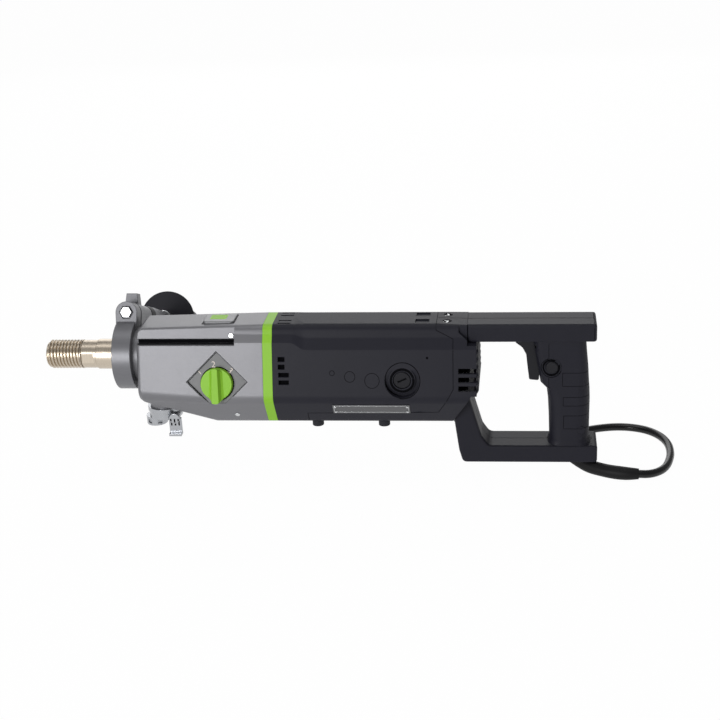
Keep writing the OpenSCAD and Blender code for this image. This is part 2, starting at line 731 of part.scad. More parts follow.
module rear_cap() color("#303136") difference() {
    union() {
        difference() {
            intersection() {
                body_prism(tray_x - 1, cap_rear_x - tray_x + 1, 0);
                slab(concat(seam, [cap_cut[0] - [0, 5], cap_cut[0], cap_cut[1],
                    [cap_rear_x, cap_cut[1][1]], [cap_rear_x, bar_under],
                    [bar_x, bar_under], [bar_x, handle_top], [seam_x + 0.1, top_z]]));
            }
            intersection() {
                body_prism(tray_x, cap_rear_x - tray_x, wall);
                slab([[tray_x + wall, -keel_z - 5], [tray_x + wall, top_z + 5],
                    [bar_x - 12, top_z + 5], [bar_x - 12, bar_under - wall],
                    [cap_rear_x - wall, bar_under - wall], [cap_rear_x - wall, cap_cut[1][1] + wall],
                    cap_cut[1] + [-wall, wall], cap_cut[0] + [-wall - 1, wall]]);
            }
        }
        for (x = feet_x, s = [-1, 1])
            translate([x, s * foot_y, -keel_z]) cylinder(h = wall + 3, d = foot_d);
    }
    for (x = feet_x, s = [-1, 1])
        translate([x, s * foot_y, -keel_z - 1]) cylinder(h = wall + 2, d = foot_screw_d);
    for (i = [0:2]) side_box(cap_rear_x - 19.5, cap_rear_x + 1, -8.2 - i * 9.1, -8.2 - i * 9.1 + vent_w, 20);
    for (i = [0:2]) translate([cap_rear_x - 1, -19, 12 - i * 8]) cube([2, 38, 3]);
    both_sides() translate([0, handle_w / 2, 0]) mirror([0, 1, 0]) rotate([90, 0, 0]) linear_extrude(40)
        polygon([[bar_x - 9, top_z + 1], [bar_x - 9, top_z - 8], [bar_x + 1, top_z - 17],
            [bar_x + 1, top_z + 1]]);
    for (s = [-1, 1]) translate([seam_x + 10.5, s * 10, top_z - 1.5]) cylinder(h = 5, d = 8);
}

// Outlines of the handle's two bars in the side view, as [x, z, corner radius]
upper_bar = [
    [bar_x, bar_under, 0.4], [upper_end, bar_under, 3], [upper_end, handle_top, 3],
    [bar_x, handle_top, 0.4]
];
function on_cut(x) = [x, mix(cap_cut[0][1], cap_cut[1][1],
    (x - cap_cut[0][0]) / (cap_cut[1][0] - cap_cut[0][0])), 0.4];
strut_front = cap_rear_x - 26.5;
lower_bar = [
    on_cut(strut_front), [strut_front + 5, -107, 20], [strut_front + 9, -handle_bottom, 5],
    [handle_x, -handle_bottom, 3], [handle_x, -lower_top, 3], [strut_front + 38, -lower_top, 8],
    [strut_front + 30, -90, 12], on_cut(strut_front + 16)
];
// The grip from foot to top, as [z, front, rear, half width, corner radius]
grip_rings = [
    [-lower_top - 1, grip_foot - 2, grip_rear + 2, grip_w / 2 + 1, 12],
    [-lower_top + 5, grip_foot, grip_rear, grip_w / 2 - 1, 13],
    [-72, grip_foot - 0.5, grip_rear + 0.3, grip_w / 2 - 1, 14],
    [-50, grip_foot - 1.5, grip_rear + 0.5, grip_w / 2, 14],
    [-37, grip_foot - 3, grip_rear, grip_w / 2, 13],
    [-29, grip_foot - 10, grip_rear - 0.7, grip_w / 2, 11],
    [-10, grip_foot - 13, grip_rear - 1.8, grip_w / 2, 10],
    [8, grip_top_front + 1.5, grip_rear - 3.5, grip_w / 2 + 0.5, 9],
    [bar_under + 1, grip_top_front, grip_rear - 4.5, grip_w / 2 + 1, 9]
];
module bevelled(P, w, r) translate([0, w / 2, 0]) rotate([90, 0, 0])
    skin([for (s = [[0, 1], [0.3, 0.3], [1, 0]]) at_z(rounded(inset(P, s[1] * r), 3), s[0] * r),
        for (s = [[1, 0], [0.3, 0.3], [0, 1]]) at_z(rounded(inset(P, s[1] * r), 3), w - s[0] * r)]);
module grip_skin(d) skin([for (g = grip_rings)
    at_z(rounded(inset([[g[1], -g[3], g[4]], [g[2], -g[3], g[4]], [g[2], g[3], g[4]],
        [g[1], g[3], g[4]]], d), 4), g[0] + (g[0] > 0 ? d : g[0] < -lower_top ? -d : 0))]);
handle_bosses = [
    [bar_x + 9, bar_under + 9, handle_w], [upper_end - 10, bar_under + 9, handle_w],
    [strut_front + 14, -64, handle_w], [strut_front + 22, -112, handle_w],
    [handle_x - 10, -112, handle_w], [grip_rear - 9, -30, grip_w], [grip_rear - 9, -84, grip_w]
];
module across(x, z, y0, y1, d) translate([x, y1, z]) rotate([90, 0, 0]) cylinder(h = y1 - y0, d = d);

module handle_body() difference() {
    union() {
        difference() {
            union() {
                bevelled(upper_bar, handle_w, edge_r);
                bevelled(lower_bar, handle_w, edge_r);
                grip_skin(0);
            }
            bevelled(inset(upper_bar, shell_wall), handle_w - 2 * shell_wall, 0.5);
            bevelled(inset(lower_bar, shell_wall), handle_w - 2 * shell_wall, 0.5);
            grip_skin(shell_wall);
        }
        for (b = handle_bosses) across(b[0], b[1], -b[2] / 2 + 1, b[2] / 2 - 1, 8);
    }
    for (b = handle_bosses) {
        across(b[0], b[1], -b[2] / 2 + 5, b[2] / 2 + 1, screw_d);
        across(b[0], b[1], b[2] / 2 - screw_head_h, b[2] / 2 + 2, screw_head_d + 0.4);
    }
    translate([trigger_x - 2, -trigger_w / 2 - 0.5, -31])
        cube([33, trigger_w + 1, bar_under + 31 + shell_wall + 1]);
    across(pivot_x, pivot_z, -trigger_w, trigger_w, trigger_pin_d + 0.8);
    across(lock_x, lock_z, -grip_w, -1, lock_d + 0.4);
    across(lock_x, lock_z, -grip_w, -grip_w / 2 + 1.4, lock_d + 7);
    for (i = [0:4]) route_cut(sleeve_route[i], sleeve_route[i + 1], sleeve_d + 1.2);
}
module half(side) intersection() {
    children();
    translate([0, side < 0 ? -handle_w : 0, -2 * handle_bottom]) cube([2 * handle_x, handle_w, 4 * handle_bottom]);
}
module handle_left_shell() color("#2e2f34") half(-1) handle_body();
module handle_right_shell() color("#2e2f34") half(1) handle_body();

module dial_plate() color("#6d6f74") difference() {
    dial_square(plate_side, -dial_recess, dial_recess);
    dial_at() translate([0, 0, -5]) cylinder(h = 10, d = knob_shaft_d + 2 * run_clear);
    on_slope(knob_x, belly_z) translate([-40, -50, 0]) cube([80, 100, 20]);
}
module gear_knob() color("#7ac02c") dial_at() {
    rotate_extrude() polygon([[0, 0.6], [knob_d / 2, 0.6], [knob_d / 2 - 0.6, 6], [0, 6.6]]);
    skin([
        at_z(rounded([[-10, -15, 3], [10, -15, 3], [8.5, 14, 3], [-8.5, 14, 3]], 3), 5),
        at_z(rounded([[-6, -knob_d / 2 - 2, 3], [6, -knob_d / 2 - 2, 3], [5, knob_d / 2 - 1, 3],
            [-5, knob_d / 2 - 1, 3]], 3), knob_h * 0.6),
        at_z(rounded([[-3.9, -knob_d / 2 - 3, 2], [3.9, -knob_d / 2 - 3, 2], [2.9, knob_d / 2, 2],
            [-2.9, knob_d / 2, 2]], 3), knob_h)
    ]);
    translate([0, 0, -pad_t - 1]) cylinder(h = pad_t + 2, d = knob_shaft_d);
    translate([0, 0, -pad_t - 4]) cylinder(h = 3.2, d = 2 * pin_r + pin_d + 1);
    translate([0, -pin_r, -pin_depth]) cylinder(h = pin_depth - pad_t - 2, d = pin_d);
}
module top_badge() color("#a9abae")
    translate([knob_x, 0, badge_floor]) skin([
        for (s = [[0, 0], [0.7, 0], [1, 1]])
        at_z(rounded(inset([[-badge_l / 2, -badge_w / 2, 4], [badge_l / 2, -badge_w / 2, 4],
            [badge_l / 2, badge_w / 2, 4], [-badge_l / 2, badge_w / 2, 4]], 0.05 + s[1]), 4),
            s[0] * (case_top(knob_x) - badge_floor + badge_h))]);

// The rating plate lies on the slope under the belly
module on_slope(x, z) translate([x, -mix(belly_half, keel_half, (z - belly_z) / (keel_z - belly_z)), -z])
    rotate([180 - slope_angle, 0, 0]) children();
module rating_plate() color("#b9babd") on_slope(plate_mid_x, plate_mid_z)
    translate([-rating_l / 2, -rating_w / 2, 0]) cube([rating_l, rating_w, 0.8]);

module screws_and_rivets() color("#c9cacc") {
    on_slope(plate_mid_x, plate_mid_z) for (x = [-1, 1], y = [-1, 1])
        translate([x * (rating_l / 2 - 3), y * (rating_w / 2 - 3), 0.8]) cylinder(h = 0.8, d = 2.6);
    for (p = case_screws) translate(p[0]) rotate(p[1]) translate([0, 0, -p[3]]) cylinder(h = p[3] + p[4], d = p[2]);
    for (b = handle_bosses) {
        across(b[0], b[1], -b[2] / 2 + 5.2, b[2] / 2 - screw_head_h, screw_d - 0.1);
        across(b[0], b[1], b[2] / 2 - screw_head_h, b[2] / 2 - 0.4, screw_head_d);
    }
    for (s = [-1, 1]) translate([seam_x + 10.5, s * 10, top_z - 1.5]) cylinder(h = 0.9, d = 7);
    for (x = feet_x, s = [-1, 1])
        translate([x, s * foot_y, -keel_z - foot_h - 1.5]) cylinder(h = foot_h + 1.5 + wall, d = foot_screw_d - 0.1);
}
module feet() color("#202124")
    for (x = feet_x, s = [-1, 1]) translate([x, s * foot_y, -keel_z - foot_h]) cylinder(h = foot_h, d = foot_d);

// Spindle, from its mouth at -X to its rear journal
module spindle() color("#b9aa92") difference() {
    union() {
        axial() rotate_extrude() polygon([
            [0, -thread_l], [thread_d / 2 - thread_chamfer, -thread_l],
            [thread_d / 2, -thread_l + thread_chamfer], [thread_d / 2, 0],
            [thread_d / 2 - 2.2, 0], [thread_d / 2 - 2.2, 0.6], [land_d / 2, 0.6],
            [land_d / 2, land_l], [collar_d / 2, land_l], [collar_d / 2, front_race_x],
            [seat_d / 2, front_race_x], [seat_d / 2, boss_end], [core_d / 2, boss_end],
            [core_d / 2, plate_x], [spindle_rear_race[0] / 2, plate_x],
            [spindle_rear_race[0] / 2, plate_x + plate_t], [0, plate_x + plate_t]]);
        for (a = [0, 180]) axial(land_l + 3, 0, 0) rotate(a)
            translate([-4, 0, 0]) intersection() {
                cube([8, lug_span / 2, lug_w]);
                translate([4, 0, 0]) cylinder(h = lug_w, d1 = lug_span, d2 = lug_span - 3);
            }
    }
    rod(-thread_l - 1, mouth_l + 1, mouth_d);
    rod(-thread_l - 1, gallery_x1 - 4 + thread_l, water_bore_d);
    for (s = [-1, 1]) translate([0.6, -20, s > 0 ? land_flats / 2 : -land_flats / 2 - 10])
        rotate([0, 0, 0]) cube([land_l - 3, 40, 10]);
    for (s = [-1, 1]) translate([0.6, s > 0 ? land_flats / 2 : -land_flats / 2 - 10, -20])
        cube([land_l - 3, 10, 40]);
    for (a = [0, 90]) translate([mix(gallery_x0, gallery_x1, 0.5), 0, 0]) rotate([a, 0, 0])
        cylinder(h = seat_d + 2, d = 6, center = true);
}
module spindle_gears() color("#8f9196") for (k = [0:2])
    difference() {
        gear(first_gear_x + k * gear_pitch, gear_w, gear_module, pair_teeth - speed_teeth[k],
            -90 + 180 / (pair_teeth - speed_teeth[k]));
        rod(first_gear_x + k * gear_pitch - 1, gear_w + 2, core_d);
    }

module outer_races() color("#b5b7bb") {
    races(front_race_x, [seat_d, front_race_d, front_race_l], 0, 0, 12, false);
    races(plate_x, spindle_rear_race, 0, 0, 8, false);
    races(post_end - lay_front_race[2], lay_front_race, 0, lay_z, 7, false);
    races(flange_x, lay_rear_race, 0, lay_z, 7, false);
    races(flange_end - armature_race[2], armature_race, 0, motor_z, 8, false);
    races(bracket_x + 1, armature_rear_race, 0, motor_z, 7, false);
}
module spindle_inner_races() color("#c4c6ca") {
    races(front_race_x, [seat_d, front_race_d, front_race_l], 0, 0, 0, true);
    races(plate_x, spindle_rear_race, 0, 0, 0, true);
}
module layshaft_inner_races() color("#c4c6ca") {
    races(post_end - lay_front_race[2], lay_front_race, 0, lay_z, 0, true);
    races(flange_x, lay_rear_race, 0, lay_z, 0, true);
}
module armature_inner_races() color("#c4c6ca") {
    races(flange_end - armature_race[2], armature_race, 0, motor_z, 0, true);
    races(bracket_x + 1, armature_rear_race, 0, motor_z, 0, true);
}
module idler_bushes() color("#b58a4a") {
    ring(plate_x, plate_t, bush_d, idler_d + 2 * run_clear, idler_y, idler_z);
    ring(flange_x, bush_l, bush_d, idler_d + 2 * run_clear, idler_y, idler_z);
}
module water_seals() color("#3a2a24") {
    ring(neck_x, front_seal_l, front_race_d, collar_d + 2 * run_clear);
    ring(front_race_x + front_race_l, gallery_x0 - front_race_x - front_race_l, neck_bore_d,
        seat_d + 2 * run_clear);
    ring(gallery_x1, seal_l, neck_bore_d, seat_d + 2 * run_clear);
}

lay_rear = flange_x + lay_rear_race[2];
module layshaft() color("#85878c") difference() {
    union() {
        rod(post_end - lay_front_race[2], lay_front_race[2], lay_front_race[0], 0, lay_z);
        rod(post_end, flange_x - post_end, layshaft_d, 0, lay_z);
        rod(flange_x, lay_rear_race[2], lay_rear_race[0], 0, lay_z);
        gear(first_gear_x + gear_pitch, gear_w, gear_module, second_teeth, 90, 0, lay_z);
        gear(idler_pinion_x, stage_w, gear_module, input_teeth,
            mesh_angle + 180 + 180 / input_teeth, 0, lay_z);
    }
    rod(first_gear_x - 2, flange_x, key_rod_d + 2 * run_clear, 0, lay_z);
    translate([collar_x - gear_pitch - key_pin_d / 2 - 0.5, -key_pin_d / 2 - 0.1, lay_z - layshaft_d])
        cube([2 * gear_pitch + key_pin_d + 1, key_pin_d + 0.2, 2 * layshaft_d]);
    translate([first_gear_x + 1, -key_pin_d / 2 - 0.1, lay_z - layshaft_d / 2])
        cube([3 * gear_pitch - 4, key_pin_d + 0.2, layshaft_d]);
}
module loose_gear(k) difference() {
    gear(first_gear_x + k * gear_pitch, gear_w, gear_module, speed_teeth[k], 90, 0, lay_z);
    rod(first_gear_x + k * gear_pitch - 1, gear_w + 2, layshaft_d + 2 * run_clear, 0, lay_z);
}
module first_gear() color("#a07a4a") loose_gear(0);
module third_gear() color("#a07a4a") loose_gear(2);
module shift_collar() color("#6f7177") {
    difference() {
        union() {
            ring(collar_x - collar_w / 2, 2, collar_od, layshaft_d + 2 * run_clear, 0, lay_z);
            ring(collar_x - collar_w / 2, collar_w, collar_groove_d, layshaft_d + 2 * run_clear, 0, lay_z);
            ring(collar_x + collar_w / 2 - 2, 2, collar_od, layshaft_d + 2 * run_clear, 0, lay_z);
        }
    }
    translate([collar_x, 0, lay_z]) cylinder(h = collar_groove_d - 1, d = key_pin_d, center = true);
    rod(first_gear_x + gear_pitch + 2, collar_x - first_gear_x - gear_pitch, key_rod_d, 0, lay_z);
    translate([first_gear_x + gear_pitch + 2, -key_pin_d / 2, lay_z - layshaft_d / 2 + 0.2])
        cube([4, key_pin_d, layshaft_d - 0.4]);
}
module shift_fork() color("#7d7f84") difference() {
    union() {
        rod(collar_x - 5, 10, fork_rod_d + 6, fork_rod_y, fork_rod_z);
        rod(collar_x - 1.8, 3.6, collar_od + 8, 0, lay_z);
        translate([collar_x - 1.8, fork_rod_y - 4, fork_rod_z]) cube([3.6, 12, 10]);
        translate([collar_x - 1.8, fork_arm_y, fork_rod_z]) cube([knob_x - collar_x + 7.8, fork_arm_w, 8]);
        translate([knob_x - 6, fork_arm_y, fork_rod_z + 4]) cube([12, fork_arm_w + 1, -30 - fork_rod_z - 4]);
    }
    rod(collar_x - 10, 20, collar_groove_d + 0.8, 0, lay_z);
    translate([collar_x - 5, 0, lay_z - 30]) cube([10, 40, 60]);
    translate([knob_x - pin_d / 2 - 0.5, -40, fork_rod_z + 8.5]) cube([pin_d + 1, 40, 60]);
    rod(collar_x - 20, 40, fork_rod_d + 2 * run_clear, fork_rod_y, fork_rod_z);
}
module fork_rod() color("#c4c6ca")
    rod(collar_x - 28, plate_x + plate_t - collar_x + 28, fork_rod_d, fork_rod_y, fork_rod_z);

module idler_shaft() color("#85878c") {
    rod(plate_x, flange_x + bush_l - plate_x, idler_d, idler_y, idler_z);
    gear(idler_pinion_x, stage_w, gear_module, idler_pinion_teeth, mesh_angle, idler_y, idler_z);
}
module idler_gear() color("#93959a") difference() {
    gear(idler_gear_x, stage_w, motor_module, idler_teeth,
        motor_angle + 180 + 180 / idler_teeth, idler_y, idler_z);
    rod(idler_gear_x - 1, stage_w + 2, idler_d, idler_y, idler_z);
}

// Motor
module armature_shaft() color("#b5b7bb") {
    rod(flange_x - 2, flange_end - armature_race[2] - flange_x + 2, 7.2, 0, motor_z);
    rod(flange_end - armature_race[2], bracket_x - flange_end + armature_race[2], armature_shaft_d, 0, motor_z);
    rod(bracket_x, armature_rear_race[2] + 3, armature_rear_race[0], 0, motor_z);
    gear(idler_gear_x, stage_w, motor_module, pinion_teeth, motor_angle, 0, motor_z);
}
module armature_core() color("#8d6b4f") {
    difference() {
        ring(core_x, core_l, armature_d, armature_shaft_d, 0, motor_z);
        for (i = [0:11]) axial(core_x - 1, 0, motor_z) rotate(30 * i)
            translate([armature_d / 2 - 5, -1.2, 0]) cube([8, 2.4, core_l + 2]);
    }
    for (x = [core_x - 9, core_x + core_l])
        ring(x, 9, armature_d - 6, armature_shaft_d, 0, motor_z);
}
module commutator() color("#b87848") difference() {
    ring(brush_x - commutator_l / 2, commutator_l, commutator_d, armature_shaft_d, 0, motor_z);
    for (i = [0:11]) axial(brush_x - commutator_l / 2 - 1, 0, motor_z) rotate(30 * i)
        translate([commutator_d / 2 - 1, -0.3, 0]) cube([3, 0.6, commutator_l - 4]);
}
module cooling_fan() color("#4a4b50") {
    ring(fan_x, 2.4, fan_d, armature_shaft_d, 0, motor_z);
    ring(fan_x + 2.4, fan_l - 2.4, armature_shaft_d + 9, armature_shaft_d, 0, motor_z);
    for (i = [0:10]) axial(fan_x + 2.4, 0, motor_z) rotate(360 / 11 * i)
        translate([armature_shaft_d / 2 + 4, -1, 0]) cube([fan_d / 2 - armature_shaft_d / 2 - 6, 2, fan_l - 4]);
}
module stator_core() color("#77797e") difference() {
    ring(core_x, core_l, stator_d, armature_d + 2 * air_gap, 0, motor_z);
    for (s = [-1, 1]) translate([core_x - 1, s * (armature_d / 2 + 4.5) - 3.5, motor_z - 9])
        cube([core_l + 2, 7, 18]);
    for (s = [-1, 1]) translate([core_x - 1, -4, motor_z + s * stator_d / 2 - 1.5]) cube([core_l + 2, 8, 3]);
}
module field_coils() color("#a8613a") {
    for (s = [-1, 1]) translate([core_x - 8, s * (armature_d / 2 + 4.5) - 3.2, motor_z - 8.5])
        cube([core_l + 16, 6.4, 17]);
    for (x = [core_x - 8, core_x + core_l + 0.5]) difference() {
        ring(x, 7.5, stator_d - 8, armature_d + 4, 0, motor_z);
        translate([x - 1, -40, motor_z - 8.5]) cube([10, 80, 17]);
    }
}
module brush_holders() color("#8a7a4a") at_brush() difference() {
    translate([0, 0, commutator_d / 2 + 2]) cylinder(h = brush_floor - commutator_d / 2 - 2, d = holder_d);
    translate([-brush_w / 2 - 0.1, -brush_w / 2 - 0.1, 0]) cube([brush_w + 0.2, brush_w + 0.2, 60]);
    translate([0, 0, brush_floor - 7]) cylinder(h = 20, d = holder_d - 4);
}
module carbon_brushes() color("#2a2a2c") at_brush()
    translate([-brush_w / 2, -brush_w / 2, commutator_d / 2 + 0.2]) cube([brush_w, brush_w, 8.5]);
module brush_springs() color("#c4c6ca") at_brush()
    translate([0, 0, commutator_d / 2 + 8.7]) difference() {
        cylinder(h = brush_floor - 6 - commutator_d / 2 - 8.7, d = brush_w - 1.6);
        translate([0, 0, -1]) cylinder(h = 30, d = brush_w - 3.4);
    }
module brush_caps() color("#26272b") at_brush() difference() {
    union() {
        translate([0, 0, brush_floor]) cylinder(h = 2.2, d = brush_cap_d);
        translate([0, 0, brush_floor - 6]) cylinder(h = 6, d = holder_d - 4.1);
    }
    rotate(25) translate([-5, -1.1, brush_floor + 0.7]) cube([10, 2.2, 5]);
}

// Handle's inner parts
trigger_outline = [
    [trigger_x + 1, bar_under - 0.5, 1.5], [trigger_x + 1, 15.5, 2], [trigger_x + 8.2, 10, 8],
    [trigger_x + 12.4, 2, 8], [trigger_x + 13.3, -8, 8], [trigger_x + 15.5, -27.5, 2],
    [trigger_x + 26, -28.6, 2], [trigger_x + 29, 12, 3], [trigger_x + 27, bar_under - 0.5, 2]
];
module trigger() color("#232428") difference() {
    translate([0, trigger_w / 2, 0]) rotate([90, 0, 0]) linear_extrude(trigger_w)
        polygon(rounded(trigger_outline, 4));
    across(pivot_x, pivot_z, -trigger_w, trigger_w, trigger_pin_d + 2 * run_clear);
}
module lock_button() color("#232428")
    translate([lock_x, -grip_w / 2 - 1.2, lock_z]) rotate([-90, 0, 0]) rotate_extrude()
    polygon([[0, 0], [lock_d / 2 - 1, 0], [lock_d / 2, 1], [lock_d / 2, 7], [3, 7],
        [3, lock_l], [0, lock_l]]);
module switch_module() color("#4b4c50") {
    difference() {
        translate([trigger_x + 37, -trigger_w / 2, -26]) cube([34, trigger_w, bar_under + 24]);
        across(grip_rear - 9, -30, -20, 20, 9);
    }
    across(pivot_x, pivot_z, -trigger_w / 2 - 0.5 - shell_wall, trigger_w / 2 + 0.5 + shell_wall, trigger_pin_d);
}
module control_module() color("#3d5a3d")
    translate([bar_x + 20, -15, bar_under + shell_wall]) cube([42, 30, upper_bar_h - 2 * shell_wall - 1]);

// Side handle, in the frame of the clamp ring: local y runs along its bolt
module clamp_at() rotate([-clamp_tilt, 0, 0]) children();
module along_bolt(t, l, d, fn = 64)
    translate([clamp_x + clamp_w / 2, t, bolt_r]) rotate([-90, 0, 0]) cylinder(h = l, d = d, $fn = fn);
module clamp_ring() color("#808286") clamp_at() difference() {
    union() {
        rod(clamp_x, clamp_w, clamp_d);
        along_bolt(-ear_end, 2 * ear_end, 2 * ear_r);
        translate([clamp_x + clamp_w / 2, ear_end, 0]) rotate([90, 0, 0]) linear_extrude(2 * ear_end)
            polygon([[-clamp_w / 2, 0], [clamp_w / 2, 0], [ear_r, bolt_r], [-ear_r, bolt_r]]);
        translate([clamp_x + clamp_w / 2, ear_end - 1, bolt_r]) rotate([90, 0, 0]) linear_extrude(12)
            polygon([[-8, 6], [8, 6], [6, wing_h], [-6, wing_h]]);
    }
    rod(clamp_x + clamp_w / 2 - ear_r - 1, 2 * ear_r + 2, neck_d + 2 * clamp_clear);
    translate([clamp_x - 20, -ear_slot / 2, neck_d / 2 - 5]) cube([clamp_w + 40, ear_slot, 60]);
    along_bolt(-ear_end - 1, 2 * ear_end + 2, bolt_d + 0.2);
    along_bolt(-ear_end - 1, 4, (head_af + 2.4) / cos(30), 6);
    along_bolt(ear_end, 30, stem_d + 0.4);
}
module clamp_bolt() color("#c9cacc") clamp_at() {
    along_bolt(-ear_end - head_h + 3, head_h, head_af / cos(30), 6);
    along_bolt(-ear_end + 3, ear_end + grip_at + 37, bolt_d);
    along_bolt(guard_at - nut_l, nut_l - 0.3, nut_d);
}
module handle_stem() color("#84868a") clamp_at() translate([clamp_x + clamp_w / 2, ear_end, bolt_r])
    rotate([-90, 0, 0]) difference() {
        rotate_extrude() polygon([[0, 0], [stem_d / 2, 0], [stem_d / 2, stem_l - nut_l - stem_end_l - 14],
            [stem_end_d / 2, stem_l - nut_l - 14], [stem_end_d / 2, stem_l - nut_l], [0, stem_l - nut_l]]);
        translate([0, 0, -1]) cylinder(h = stem_l + 2, d = bolt_d + 0.2);
    }
module hand_guard() color("#232428") clamp_at() difference() {
    translate([clamp_x + clamp_w / 2, guard_at, bolt_r]) rotate([-90, 0, 0]) rotate_extrude()
        polygon([[0, 0], [guard_d / 2 - 2, 0.6], [guard_d / 2, 1.8], [guard_d / 2, 3.2],
            [guard_d / 2 - 2, guard_t - 0.6], [0, guard_t]]);
    along_bolt(guard_at - 1, guard_t + 2, bolt_d + 2 * run_clear);
}
grip_r = side_grip_d / 2;
grip_body_l = side_grip_l - grip_r * 0.7;
grip_profile = concat(
    [[bolt_d / 2 + run_clear, 0]],
    [for (i = [0:10]) [grip_r * (0.84 + 0.16 * sin(165 * i / 10)), grip_body_l * i / 10]],
    [for (a = [15:15:75]) [grip_r * 0.88 * cos(a), grip_body_l + grip_r * 0.7 * sin(a)]],
    [[0, side_grip_l], [0, 40], [bolt_d / 2 + run_clear, 40]]);
module side_grip() color("#26272b") clamp_at()
    translate([clamp_x + clamp_w / 2, grip_at, bolt_r]) rotate([-90, 0, 0])
    rotate_extrude() polygon(grip_profile);

// Water inlet
module water_valve() color("#c3c5c8") difference() {
    union() {
        translate([inlet_x, 0, -valve_top - 5]) cylinder(h = 5, d = valve_d);
        translate([inlet_x, 0, -valve_top - valve_h]) cylinder(h = valve_h, d = valve_d - 2.5);
        translate([socket_x, 0, -valve_top - valve_h - socket_l]) cylinder(h = socket_l, d = socket_d);
        translate([lever_x, 0, lever_z]) rotate([90, 0, 0]) cylinder(h = lever_y - 0.1, d = 9);
    }
    translate([inlet_x, 0, -valve_top - valve_h + 3]) cylinder(h = valve_h, d = inlet_bore);
    translate([socket_x, 0, -valve_top - valve_h - socket_l - 1]) cylinder(h = socket_l, d = socket_bore);
    translate([socket_x, 0, -valve_top - valve_h - 2]) cylinder(h = 6.5, d = inlet_bore - 3);
    rod(socket_x, socket_lead, inlet_bore - 3, 0, -valve_top - 8.5);
    for (a = [0:60:300]) translate([socket_x, 0, -valve_top - valve_h - socket_l + 2.5]) rotate(a)
        translate([socket_d / 2 - 1.6, -2.5, 0]) cube([4, 5, 4.5]);
}
module valve_lever() color("#b9bbbe") translate([lever_x, -lever_y, lever_z]) rotate([90, 0, 0]) {
    cylinder(h = 5, d = lever_w - 2);
    translate([-lever_w / 2, -lever_l, 0]) cube([lever_w, lever_l, 3]);
    translate([-lever_w / 2, -lever_l, 0]) cube([lever_w, 3, 8]);
}

// Power cord
function heading(P, i) = unit(P[min(i + 1, len(P) - 1)] - P[max(i - 1, 0)]);
function tube_rings(P, r, n) = [
    for (i = [0:len(P) - 1])
    let (t = heading(P, i), side = unit(cross(t, [0, 0, 1])), up = cross(side, t))
    [for (k = [0:n - 1]) P[i] + r[i] * (cos(360 * k / n) * up + sin(360 * k / n) * side)]
];
module sweep(P, r, n) skin(tube_rings(P, r, n));
module route_cut(a, b, d) {
    v = b - a;
    translate(a) rotate([0, acos(v[2] / norm(v)), atan2(v[1], v[0])]) cylinder(h = norm(v), d = d);
    translate(b) sphere(d = d);
}
function coil_radius(u) = let (m = u % (2 * coil_turns), d = m > coil_turns ? 2 * coil_turns - m : m)
    coil_r - coil_pitch * d;
function coil_rise(u) = coil_pitch * (clamp01((u - coil_turns + 0.25) * 2)
    + clamp01((u - 2 * coil_turns + 0.25) * 2) + clamp01((u - 3 * coil_turns + 0.25) * 2));
function coil_point(u) = [coil_x + coil_radius(u) * cos(360 * u), coil_y + coil_radius(u) * sin(360 * u),
    coil_z + coil_rise(u)];
coil_steps = floor(24 * coil_total);
coil_points = concat([coil_point(0) - [0, cord_d, 0]],
    [for (i = [0:coil_steps]) coil_point(i / 24)], [coil_point(coil_total), coil_tail]);
// Least distance between turns: points at least half a turn apart along the cord
coil_least = min([for (i = [0:2:coil_steps], j = [i + 12:coil_steps])
    norm(coil_points[i + 1] - coil_points[j + 1])]) - cord_d;
echo(coil_least_gap = coil_least);

module cord_sleeve() color("#1f2023")
    sweep(sleeve_route, [for (i = [0:8]) i < 6 ? sleeve_d / 2 : sleeve_d / 2 - (i - 5) * 0.6], 12);
module power_cord() color("#26272a") {
    sweep(cord_route, [for (p = cord_route) cord_d / 2], 10);
    sweep(tail_route, [for (p = tail_route) cord_d / 2], 10);
}
module cord_coil() color("#26272a") sweep(coil_points, [for (p = coil_points) cord_d / 2], 6);
module coil_tie() color("#3a3b3f") translate([coil_x, coil_y, coil_z - cord_d / 2 - tie_t]) rotate(tie_turn)
    translate([coil_r - coil_pitch * coil_turns - cord_d / 2 - tie_gap - tie_t, -tie_w / 2, 0]) difference() {
        w = coil_pitch * coil_turns + cord_d + 2 * tie_gap + 2 * tie_t;
        h = coil_pitch * (coil_layers - 1) + cord_d + tie_gap + 2 * tie_t;
        cube([w, tie_w, h]);
        translate([tie_t, -1, tie_t]) cube([w - 2 * tie_t, tie_w + 2, h - 2 * tie_t]);
    }
plug_turn = atan2(tail_end[1] - tail_route[len(tail_route) - 2][1], tail_end[0] - tail_route[len(tail_route) - 2][0]);
module plug_at() translate(tail_end) rotate([0, 0, plug_turn]) rotate([0, 90, 0]) children();
module plug_body() color("#242529") plug_at() rotate_extrude() polygon([
    [0, 0], [cord_d / 2 + 1.5, 0], [cord_d / 2 + 3, 14], [plug_d / 2 - 3, 22],
    [plug_d / 2 - 1, plug_l - 14], [plug_d / 2, plug_l - 12], [plug_d / 2, plug_l], [0, plug_l]]);
module plug_pins() color("#c9cacc") plug_at() for (s = [-1, 1])
    translate([0, s * 9.5, plug_l]) cylinder(h = 19, d = 4.8);

